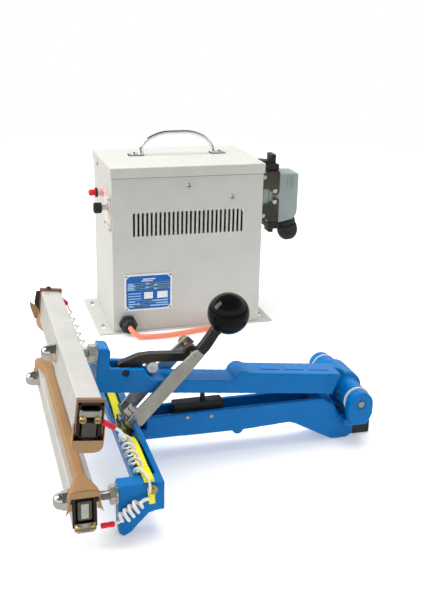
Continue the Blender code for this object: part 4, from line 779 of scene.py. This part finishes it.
def toggle_link():
    edged("toggle_link", "strap_steel", 0.6, 3)
    dome = [(0.0, 28.5), (2.4, 28.2), (4.4, 27.0), (5.7, 24.6), (6.0, 22.0), (0.0, 22.0)]
    nut = Form(LOWER).lathe(dome, LINK_PIN, TO_BACK, 40)
    nut.nut(11.0, 3.2, LINK_PIN + Vector((0.0, 19.3, 0.0)), TO_BACK)
    nut.lathe([(0.0, 19.5), (3.0, 19.5), (3.0, -15.5), (0.0, -15.5)], LINK_PIN, TO_BACK, 32)
    nut.done("link_pin_nut", "brass", "link_pin", body="toggle_lever")
    profile = [(0.0, 0.8), (2.6, 0.6), (3.4, 0.0), (3.0, -4.0), (0.0, -4.0)]
    head = Form(LOWER).lathe(profile, LINK_PIN - Vector((0.0, 19.0, 0.0)), TO_FRONT, 32)
    head.done("link_pin_head", "steel", body="toggle_lever")
    edged("eye_bolt", "steel", 0.3)
    along = (ANCHOR - LINK_PIN).normalized()
    cross = (ANCHOR - LINK_PIN).length - 7.0
    nuts = Form(LOWER)
    for start, height in ((cross - 7.0, 5.2), (cross - 12.0, 4.2)):
        nuts.nut(9.6, height, LINK_PIN + along * start, along, 2.7)
    nuts.stand_in("adjusting_nut", "steel")
    pin = Form(LOWER).lathe(rod((-13.4, 13.4), 2.2, (0.3, 0.4)), ANCHOR, TO_BACK, 32)
    pin.stand_in("anchor_pin", "steel")
    block = Form(LOWER).block((-222.6, -8.5, 26.0), (-214.4, 8.5, 39.4), 1.2, 3)
    block.done("anchor_block", "olive_zinc")
    bush = [(2.6, 0.0), (2.6, 0.5), (1.6, 0.6), (1.5, -1.0), (0.0, -1.0)]
    plug = Form(LOWER).lathe(bush, (-218.5, -8.5, 33.0), TO_FRONT, 32)
    plug.done("anchor_block_bush", "brass")


def microswitch():
    edged("microswitch", "plastic_black", 0.6, 3)
    edged("switch_plunger", "plastic_black", 0.4)
    screws = Form(LOWER)
    for x in (-173.5, -136.5):
        screws.pan_head((x, -6.1, 33.5), TO_FRONT, 2.2, 1.2)
    screws.done("microswitch_screws", "steel")


def rest_roller():
    roller = [(2.1, 0.0), (4.6, 0.0), (5.3, 0.7), (5.3, 8.5), (4.6, 9.2), (2.1, 9.2), (2.1, 0.0)]
    made = Form(UPPER).lathe(roller, ROLLER, TO_BACK)
    made.lathe([(0.0, 0.2), (2.0, 0.2), (2.0, 1.6), (0.0, 1.6)], ROLLER, TO_BACK, 24)
    made.stand_in("lever_rest_roller", "nylon")


# ---------------------------------------------------------------- jaws

BAR_X, BAR_HALF, BAR_END, BAR_WALL = -281.8, 9.75, 132.5, 2.3
Half = namedtuple("Half", "place side low high edge face clamp bracket lip screw")
HALVES = {
    "lower": Half(LOWER, 1, 18.0, 46.0, 46.0, 52.2, (25.0, 42.0), (15.4, 22.4), 15.4, 18.8),
    "upper": Half(UPPER, -1, 63.5, 94.0, 63.5, 52.7, (65.5, 78.0), (82.4, 88.4), 86.8, 80.6),
}
ENDS = {-1: "near", 1: "far"}
COVER_STEPS, COVER_ARC, COVER_FULLNESS, COVER_THICK = 96, 14, 0.6, 0.55
COVER_HALF, COVER_DROP, COVER_FLARE = (5.0, 12.4), (0.25, 12.25), 26.0
SCREW_HEAD = [(0.0, 2.6), (1.6, 2.5), (2.7, 1.9), (3.1, 0.8), (3.1, 0.0), (0.0, 0.0)]


def cover_section(y, edge, face):
    """The cover's outline across the bar at y: a rounded crown, with hems that hang lower near the ends."""
    near_end = max(0.0, (abs(y) - (BAR_END - COVER_FLARE)) / COVER_FLARE)
    flare = near_end * near_end * (3 - 2 * near_end)
    width = COVER_HALF[0] + (COVER_HALF[1] - COVER_HALF[0]) * flare
    drop = COVER_DROP[0] + (COVER_DROP[1] - COVER_DROP[0]) * flare * flare
    hem = edge + math.copysign(drop, edge - face)
    crown = []
    for i in range(COVER_ARC + 1):
        across, up = math.cos(math.pi * i / COVER_ARC), math.sin(math.pi * i / COVER_ARC)
        crown.append((-math.copysign(width * abs(across) ** COVER_FULLNESS, across),
                      edge + (face - edge) * max(0.0, up) ** COVER_FULLNESS))
    return [(-width, hem), *crown, (width, hem)]


def jaw_cover(name):
    """The cloth cover, whose long sides wander a little."""
    half = HALVES[name]
    rings = []
    for i in range(COVER_STEPS + 1):
        y = (BAR_END + 2.6) * (2 * i / COVER_STEPS - 1)
        ripple = 0.09 * math.sin(y * 0.21) + 0.06 * math.sin(y * 0.57 + 1.3)
        outer = cover_section(y, half.edge, half.face)
        inner = [(u * (1 - COVER_THICK / max(3.0, abs(u))), w - half.side * COVER_THICK)
                 for u, w in reversed(outer)]
        rings.append([(BAR_X + u + ripple, y, w) for u, w in outer + inner])
    cover = Form(half.place).rings(rings)
    crown = cover_section(BAR_END, half.edge, half.face - half.side * 0.3)[1:-1]
    for end in ENDS:
        near, far = sorted((end * (BAR_END + 3.1), end * (BAR_END + 3.6)))
        cover.slab([(BAR_X + u * 0.97, w) for u, w in crown], near, far, bevel=0.1)
    cover.stand_in(name + "_ptfe_cover", "ptfe_brown", smooth=50.0)


def end_block(form, end, across, heights, depths, bevel=0.0, segments=2):
    """A block at a bar's end.  depths are how far past the end it starts and stops."""
    near, far = sorted(end * (BAR_END + depth) for depth in depths)
    low, high = heights
    return form.block((BAR_X + across[0], near, low), (BAR_X + across[1], far, high), bevel, segments)


def bar_end_shade_and_rim(name, end):
    """Painted shade: dark walls and a dark back inside a bar's end, where the tube's inside lies in shade,
    and a dark rim on its end face.
    """
    half, dark, rim, thin = HALVES[name], Form(HALVES[name].place), 2.5, 0.7
    wall, floor, roof = BAR_HALF - BAR_WALL, half.low + BAR_WALL, half.high - BAR_WALL
    for u in (-wall, 0.9 * wall):
        end_block(dark, end, (u, u + 0.1 * wall), (floor, roof), (-22.0, -0.4))
    for z in (floor, roof - thin):
        end_block(dark, end, (-wall, wall), (z, z + thin), (-22.0, -0.4))
    end_block(dark, end, (-wall, wall), (floor, roof), (-22.0, -21.5))
    for u in (-BAR_HALF, BAR_HALF - rim):
        end_block(dark, end, (u, u + rim), (half.low, half.high), (0.1, 0.7), 0.2)
    for z in (half.low, half.high - rim):
        end_block(dark, end, (-BAR_HALF, BAR_HALF), (z, z + rim), (0.1, 0.7), 0.2)
    dark.done(f"{name}_bar_end_shade_and_rim_{ENDS[end]}", "shade_and_print_dark")


def tensioner(name, end):
    """The block that keeps the band tight, the bracket on the bar's end and its two screws."""
    half, word = HALVES[name], ENDS[end]
    core = end_block(Form(half.place), end, (-5.6, 5.6), half.clamp, (-14.0, 2.2), 0.9, 3)
    core.stand_in(f"{name}_clamp_{word}", "clamp_grey")
    if name == "lower":
        pad = end_block(Form(half.place), end, (-3.0, 3.0), (27.0, 40.0), (2.0, 2.6), 0.2)
        pad.done(f"lower_clamp_pad_{word}", "bright_steel")
    bracket = end_block(Form(half.place), end, (-8.6, 8.6), half.bracket, (0.6, 2.4), 0.4)
    end_block(bracket, end, (-6.8, 6.8), (half.lip, half.lip + 1.6), (1.0, 4.6), 0.4)
    bracket.done(f"{name}_bracket_{word}", "steel")
    # The dark slits across the screw heads are painted shade for their slots.
    screws, slot_shade = Form(half.place), Form(half.place)
    for u in (-5.6, 5.6):
        screws.lathe(SCREW_HEAD, (BAR_X + u, end * (BAR_END + 2.4), half.screw), (0, end, 0), 32)
        end_block(slot_shade, end, (u - 2.2, u + 2.2), (half.screw - 0.3, half.screw + 0.3), (4.7, 5.1))
    screws.done(f"{name}_bracket_screws_{word}", "brass")
    slot_shade.done(f"{name}_bracket_slot_shade_{word}", "shade_and_print_dark")


def cloth_folds(name, end):
    """The folded cloth that shows round a bar's end: a frame on the upper bar, two tails on the lower one."""
    half, cloth, middle = HALVES[name], Form(HALVES[name].place), end * (BAR_END + 2.0)
    if name == "upper":
        end_block(cloth, end, (-11.0, 11.0), (half.high, half.high + 2.4), (-3.2, 1.4), 0.5, 3)
        for u in (-10.9, 9.8):
            end_block(cloth, end, (u, u + 1.1), (68.0, half.high + 0.6), (-3.2, 1.4), 0.3)
        cloth.done(f"upper_cloth_fold_{ENDS[end]}", "cloth_dark")
        return
    for side in (-1, 1):
        tail = ((9.9, 40.5), (12.4, 41.5), (15.2, 30.5), (12.0, 35.0), (9.9, 35.0))
        cloth.slab([(BAR_X + side * u, z) for u, z in tail], middle - 0.3, middle + 0.3, bevel=0.1)
    cloth.done(f"lower_cloth_tails_{ENDS[end]}", "ptfe_brown")


def loose_cloth():
    """The loose cloth beside the upper bar's far end, and the screw that holds its fold.  Its inner piece is
    painted shade, the dark of the fold's inner side.
    """
    wall, top = BAR_X - BAR_HALF, HALVES["upper"].high
    inner = ((0.5, 0.0), (-5.0, -0.5), (-6.0, -12.0), (-4.0, -22.0), (0.5, -24.0))
    flap = ((-3.6, -16.0), (-11.0, -11.5), (-10.0, -17.0), (-5.0, -29.0), (0.5, -31.0), (0.5, -23.0))
    # inner is painted shade on the fold's inner side; flap is the cloth itself.
    for name, outline, near, far, finish in (("inner", inner, -2.4, -1.6, "shade_and_print_dark"),
                                             ("flap", flap, -3.4, -2.8, "ptfe_brown")):
        piece = Form(UPPER).slab([(wall + u, top + w) for u, w in outline], BAR_END + near, BAR_END + far,
                                 bevel=0.2)
        piece.done(f"upper_cloth_{name}_far", finish)
    screw = Form(UPPER).pan_head((BAR_X - 2.5, BAR_END - 0.9, top + 2.3), UPWARD, 2.8, 2.0)
    screw.done("upper_cloth_screw_far", "lever_black")


STUD_RADIUS = 4.0
NUT_X = BAR_X - BAR_HALF - 0.2


def thread(form, end_x, y, z, pitch=1.25):
    """A stud from the domed nut to end_x, with a rolled thread."""
    start_x, root = NUT_X - 5.6, STUD_RADIUS - 0.5
    length = end_x - start_x
    profile = [(0.0, 0.0), (root, 0.0)]
    for i in range(int(length / pitch)):
        profile += [(root + 0.05, i * pitch + 0.1), (STUD_RADIUS, (i + 0.5) * pitch)]
    profile += [(root, length), (0.0, length)]
    return form.lathe(profile, (start_x, y, z), TO_RIGHT, 40)


def domed_nut(form, y, z):
    """A domed nut with a washer against the bar."""
    form.lathe([(0.0, 0.0), (8.8, 0.0), (8.8, 1.2), (0.0, 1.2)], (NUT_X, y, z), TO_LEFT, 56)
    form.nut(14.2, 5.2, (NUT_X - 1.2, y, z), TO_LEFT, turn=0.3)
    dome = [(6.9, 6.0), (6.9, 7.0), (6.6, 8.6), (5.9, 10.4), (4.7, 11.9), (3.0, 12.8), (1.2, 13.1),
            (0.0, 13.1)]
    return form.lathe(dome, (NUT_X, y, z), TO_LEFT, 56)


def studs():
    lower_z, upper_y, upper_z = 36.0, -3.0, 80.8
    for end, word in ENDS.items():
        y = end * 119.5
        thread(Form(LOWER), -224.0, y, lower_z).stand_in(f"lower_stud_{word}", "steel")
        domed_nut(Form(LOWER), y, lower_z).stand_in(f"lower_dome_nut_{word}", "nickel")
        nuts = Form(LOWER).nut(14.6, 4.6, (-255.4, y, lower_z), TO_LEFT, STUD_RADIUS, turn=0.2)
        nuts.washer(4.1, 9.0, 1.2, (-254.1, y, lower_z), TO_LEFT)
        nuts.done(f"lower_lock_nut_{word}", "bright_steel")
    thread(Form(UPPER), -246.0, upper_y, upper_z).stand_in("upper_stud", "steel")
    domed_nut(Form(UPPER), upper_y, upper_z).stand_in("upper_dome_nut", "nickel")
    nuts = Form(UPPER).nut(15.0, 6.2, (-257.3, upper_y, upper_z), TO_LEFT, STUD_RADIUS, turn=0.1)
    nuts.washer(4.1, 9.2, 1.2, (-256.1, upper_y, upper_z), TO_LEFT)
    nuts.done("upper_lock_nut", "bright_steel")


def jaws():
    for name in HALVES:
        edged(name + "_jaw_bar", "aluminium", 0.5)
        edged(name + "_heating_band", "bright_steel", 0.1, 1)
        edged(name + "_insulating_strip", "silicone", 0.2, 1)
        jaw_cover(name)
        for end in ENDS:
            bar_end_shade_and_rim(name, end)
            tensioner(name, end)
            cloth_folds(name, end)
    loose_cloth()
    studs()


# ---------------------------------------------------------------- leads

HEAD_FACE = -127.3
WIRE = 1.35


def crimp(name, place, a, b):
    """A red crimped joint from a to b, given in the lower half's frame with the jaws open."""
    to_place = place.frame.inverted() @ LOWER.frame
    a, b = to_place @ Vector(a), to_place @ Vector(b)
    radius, length = 2.3, (b - a).length
    profile = [(0.0, 0.0), (radius * 0.7, 0.0), (radius, 0.5), (radius, length * 0.42),
               (radius * 0.82, length * 0.5), (radius, length * 0.58), (radius, length - 0.6),
               (radius * 0.72, length), (0.0, length)]
    Form(place).lathe(profile, a, b - a, 32).done(name, "crimp_red")


def power_sleeve():
    bed = [(-226.5, 106.0, 36.5), (-226.3, 60.0, 37.0), (-226.3, 32.0, 34.0), (-226.3, 15.0, 27.0),
           (-226.3, 0.0, 26.0), (-226.3, -15.0, 27.2), (-226.3, -32.0, 36.5), (-227.4, -60.0, 44.0),
           (-228.5, -100.0, 46.6), (-228.5, -111.0, 47.6), (-228.5, -126.0, 47.8)]
    Form(LOWER).ribbon(smooth_path(bed, 10), 8.6, 2.4, UPWARD).stand_in("power_sleeve", "sleeve_yellow")
    drop = [(-227.9, HEAD_FACE - 0.9, 43.0), (-227.9, HEAD_FACE - 1.2, 39.0), (-227.4, HEAD_FACE - 1.2, 34.0),
            (-226.9, HEAD_FACE - 1.2, 28.6)]
    tail = Form(LOWER).ribbon(smooth_path(drop, 8), 5.6, 1.8, TO_FRONT)
    tail.done("power_sleeve_tail", "sleeve_yellow")
    eye = (-226.4, HEAD_FACE - 1.9, 41.4)
    terminal = Form(LOWER).washer(1.9, 3.9, 0.8, eye, TO_FRONT, 40)
    terminal.lathe([(0.0, 2.2), (1.6, 2.0), (2.6, 1.0), (2.6, 0.0), (0.0, 0.0)], eye, TO_FRONT, 32)
    terminal.lathe([(0.0, 1.2), (2.4, 1.0), (3.0, 0.0), (0.0, 0.0)], (-226.2, HEAD_FACE, 35.5), TO_FRONT, 24)
    terminal.done("feed_terminal", "brass")


def lower_lead():
    drop = [(-229.4, HEAD_FACE - 2.4, 34.0), (-233.5, HEAD_FACE - 4.4, 34.6), (-238.0, HEAD_FACE - 5.2, 32.6)]
    axis = [(-236.6, HEAD_FACE - 5.2, 33.0), (-245.0, HEAD_FACE - 5.4, 26.4), (-253.4, HEAD_FACE - 5.4, 19.6)]
    link = [(-252.4, HEAD_FACE - 5.2, 19.6), (-256.0, HEAD_FACE - 5.6, 18.0), (-259.0, -133.8, 17.8)]
    lead = Form(LOWER).wire(smooth_path(drop, 8), WIRE, 12)
    lead.wire(coil_path(axis, 4.4, 4.4, 2.0), WIRE, 12)
    lead.wire(smooth_path(link, 8), WIRE, 12)
    lead.done("lower_lead_coil", "lead_white")
    crimp("lower_crimp_near", LOWER, (-269.6, -134.0, 17.6), (-258.4, -133.8, 17.8))


def upper_near_lead():
    tail = [(-229.2, HEAD_FACE - 3.2, 40.0), (-229.0, HEAD_FACE - 3.0, 45.0), (-229.6, -127.5, 50.6),
            (-231.0, -121.0, 51.6), (-233.0, -115.0, 51.8)]
    over = Form(LOWER).wire(smooth_path(tail, 8), WIRE * 0.8, 12)
    over.done("upper_lead_tail", "lead_white")
    axis = [(-233.4, -116.0, 50.6), (-234.6, -98.0, 50.0), (-235.0, -76.0, 49.4), (-234.6, -58.0, 48.8),
            (-234.0, -46.0, 48.0)]
    coil = Form(LOWER).wire(coil_path(axis, 4.3, 5.0, 0.6), WIRE, 12)
    coil.done("upper_lead_coil", "lead_white")
    crimp("upper_crimp_near", UPPER, (-266.6, -134.0, 109.2), (-257.0, -134.0, 102.4))
    loose = smooth_path([(-257.2, -134.0, 102.5), (-252.0, -130.0, 97.0), (-243.0, -100.0, 74.0),
                         (-240.0, -60.0, 55.0), (-237.0, -47.0, 51.0), (-234.6, -46.0, 48.6)], 12)
    bending_lead(Form(LOWER).wire(loose, WIRE * 0.9, 12), "upper_lead_near")


def upper_far_lead():
    crimp("upper_crimp_far", UPPER, (-267.0, 134.0, 118.0), (-258.0, 134.0, 109.0))
    axis = [(-256.0, 133.0, 103.0), (-250.0, 132.0, 84.0), (-241.0, 130.0, 60.0), (-236.0, 122.0, 47.5)]
    path = [Vector((-258.2, 134.0, 109.2)), *coil_path(axis, 2.6, 7.0, 0.0, 16)]
    bending_lead(Form(LOWER).wire(path, 0.9, 10), "upper_lead_far")


def bending_lead(form, name):
    """A lead between the lower half and the upper jaw, left on no body, with its place baked into its mesh.
    """
    obj = form.done(name, "lead_white")
    world = obj.matrix_world.copy()
    obj.parent = None
    obj.matrix_world = world
    del obj["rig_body"]
    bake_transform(obj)


# ---------------------------------------------------------------- what stays as the CAD has it

INSIDE = {"button_switch": "plastic_black", "transformer_core": "core_steel", "transformer_coil": "winding",
          "timer_board": "board_green", "connector_insert": "plastic_black"}


def inside():
    for node, finish in INSIDE.items():
        for spot in frame["nodes"][node].material_slots:
            spot.material = MATERIALS[finish]


# ---------------------------------------------------------------- stage, light and camera, in metres

FLOOR_HALF, FLOOR_Z, FLOOR_FADE = 2.0, -0.0002, (0.9, 1.5)
FLOOR_PAINT, FLOOR_GLOW, FLOOR_MIRRORED = (0.82, 0.82, 0.82, 1.0), 0.33, (0.50, 0.49, 0.46, 1.0)
SKIES = (
    ("Is Diffuse Ray", 0.56, ((0.0, 0.35), (0.25, 0.55), (0.8, 1.0))),
    ("Is Glossy Ray", 1.0, ((0.0, 0.15), (0.12, 0.66), (0.42, 0.85), (0.62, 0.20), (1.0, 0.05))),
)
LIGHTS = (
    ("key", (-1.7, 0.1, 1.5), (0.0, -0.2, 0.1), (0.9, 1.4), 31.0),
    ("top", (0.2, 0.1, 2.2), (0.0, -0.2, 0.0), (1.6, 1.6), 33.0),
    ("fill", (0.6, -2.4, 1.2), (0.0, -0.2, 0.1), (0.8, 0.8), 4.0),
)
CAMERA_AT = (-0.2799, -1.1221, 0.4244)
CAMERA_YAW, CAMERA_PITCH, CAMERA_ROLL = 0.286998, 0.339505, 0.0219676
FOCAL = 54.08


def stage():
    """White paper that fades out between the two distances of FLOOR_FADE.  Shiny pieces mirror it darker."""
    mesh = bpy.data.meshes.new("floor")
    corners = [(x * FLOOR_HALF, y * FLOOR_HALF, 0) for x, y in ((-1, -1), (1, -1), (1, 1), (-1, 1))]
    mesh.from_pydata(corners, [], [(0, 1, 2, 3)])
    floor = bpy.data.objects.new("floor", mesh)
    floor.location.z = FLOOR_Z
    bpy.context.scene.collection.objects.link(floor)
    material = bpy.data.materials.new("floor_paper")
    material.use_nodes = True
    tree = material.node_tree
    paper = tree.nodes["Principled BSDF"]
    paper.inputs["Base Color"].default_value = FLOOR_PAINT
    paper.inputs["Emission Color"].default_value = (1.0, 1.0, 1.0, 1.0)
    paper.inputs["Emission Strength"].default_value = FLOOR_GLOW
    paper.inputs["Roughness"].default_value = 0.75
    paper.inputs["Specular IOR Level"].default_value = 0.2
    mirrored = new_node(tree, "ShaderNodeEmission")
    mirrored.inputs["Color"].default_value = FLOOR_MIRRORED
    rays = new_node(tree, "ShaderNodeLightPath")
    seen = mixed_shaders(tree, rays.outputs["Is Glossy Ray"], paper.outputs[0], mirrored.outputs[0])
    distance = new_node(tree, "ShaderNodeVectorMath", operation="LENGTH")
    tree.links.new(new_node(tree, "ShaderNodeTexCoord").outputs["Object"], distance.inputs[0])
    faded = ranged(tree, distance.outputs["Value"], 0.0, 1.0, *FLOOR_FADE)
    clear = new_node(tree, "ShaderNodeBsdfTransparent")
    surface = mixed_shaders(tree, faded, seen, clear.outputs[0])
    tree.links.new(surface, tree.nodes["Material Output"].inputs["Surface"])
    mesh.materials.append(material)


def sky():
    """A white backdrop, with a sky of its own for each kind of ray in SKIES."""
    world = bpy.data.worlds.new("studio")
    bpy.context.scene.world = world
    world.use_nodes = True
    tree = world.node_tree
    tree.nodes.clear()
    out = new_node(tree, "ShaderNodeOutputWorld")
    white = new_node(tree, "ShaderNodeBackground")
    white.inputs["Color"].default_value = (1.0, 1.0, 1.0, 1.0)
    shader = white.outputs[0]
    split = new_node(tree, "ShaderNodeSeparateXYZ")
    tree.links.new(new_node(tree, "ShaderNodeTexCoord").outputs["Generated"], split.inputs[0])
    rays = new_node(tree, "ShaderNodeLightPath")
    for kind, strength, stops in SKIES:
        ramp = new_node(tree, "ShaderNodeValToRGB")
        while len(ramp.color_ramp.elements) < len(stops):
            ramp.color_ramp.elements.new(0.5)
        for element, (place, grey) in zip(ramp.color_ramp.elements, stops):
            element.position, element.color = place, (grey, grey, grey, 1.0)
        tree.links.new(split.outputs["Z"], ramp.inputs[0])
        light = new_node(tree, "ShaderNodeBackground")
        light.inputs["Strength"].default_value = strength
        tree.links.new(ramp.outputs[0], light.inputs["Color"])
        shader = mixed_shaders(tree, rays.outputs[kind], shader, light.outputs[0])
    tree.links.new(shader, out.inputs[0])


def lamps():
    for name, place, aim, size, power in LIGHTS:
        data = bpy.data.lights.new(name, "AREA")
        data.shape = "RECTANGLE"
        data.size, data.size_y = size
        data.energy = power
        lamp = bpy.data.objects.new(name, data)
        lamp.location = place
        lamp.visible_glossy = name == "key"
        lamp.rotation_mode = "QUATERNION"
        lamp.rotation_quaternion = (Vector(aim) - Vector(place)).to_track_quat("-Z", "Y")
        bpy.context.scene.collection.objects.link(lamp)


def camera():
    yaw, pitch, roll = CAMERA_YAW, CAMERA_PITCH, CAMERA_ROLL
    ahead = Vector((math.sin(yaw) * math.cos(pitch), math.cos(yaw) * math.cos(pitch), -math.sin(pitch)))
    right = Vector((math.cos(yaw), -math.sin(yaw), 0.0))
    up = right.cross(ahead)
    turned_right = right * math.cos(roll) + up * math.sin(roll)
    turned_up = -right * math.sin(roll) + up * math.cos(roll)
    data = bpy.data.cameras.new("camera")
    data.lens = FOCAL
    data.sensor_width = 36.0
    eye = bpy.data.objects.new("camera", data)
    matrix = Matrix((turned_right, turned_up, -ahead)).transposed().to_4x4()
    matrix.translation = Vector(CAMERA_AT)
    eye.matrix_world = matrix
    bpy.context.scene.collection.objects.link(eye)
    bpy.context.scene.camera = eye
    bpy.context.scene.view_settings.view_transform = "Standard"


POWER_UNIT = (case_shell, carry_handle, nameplate, control_plate, timer_knob, lamp_button, mains_entry,
              connector, plug_hood)
TONGS = (arms, hinge, toggle_lever, toggle_link, microswitch, rest_roller, jaws, power_sleeve, lower_lead,
         upper_near_lead, upper_far_lead)
for build in (*POWER_UNIT, *TONGS, inside, stage, sky, lamps, camera):
    build()
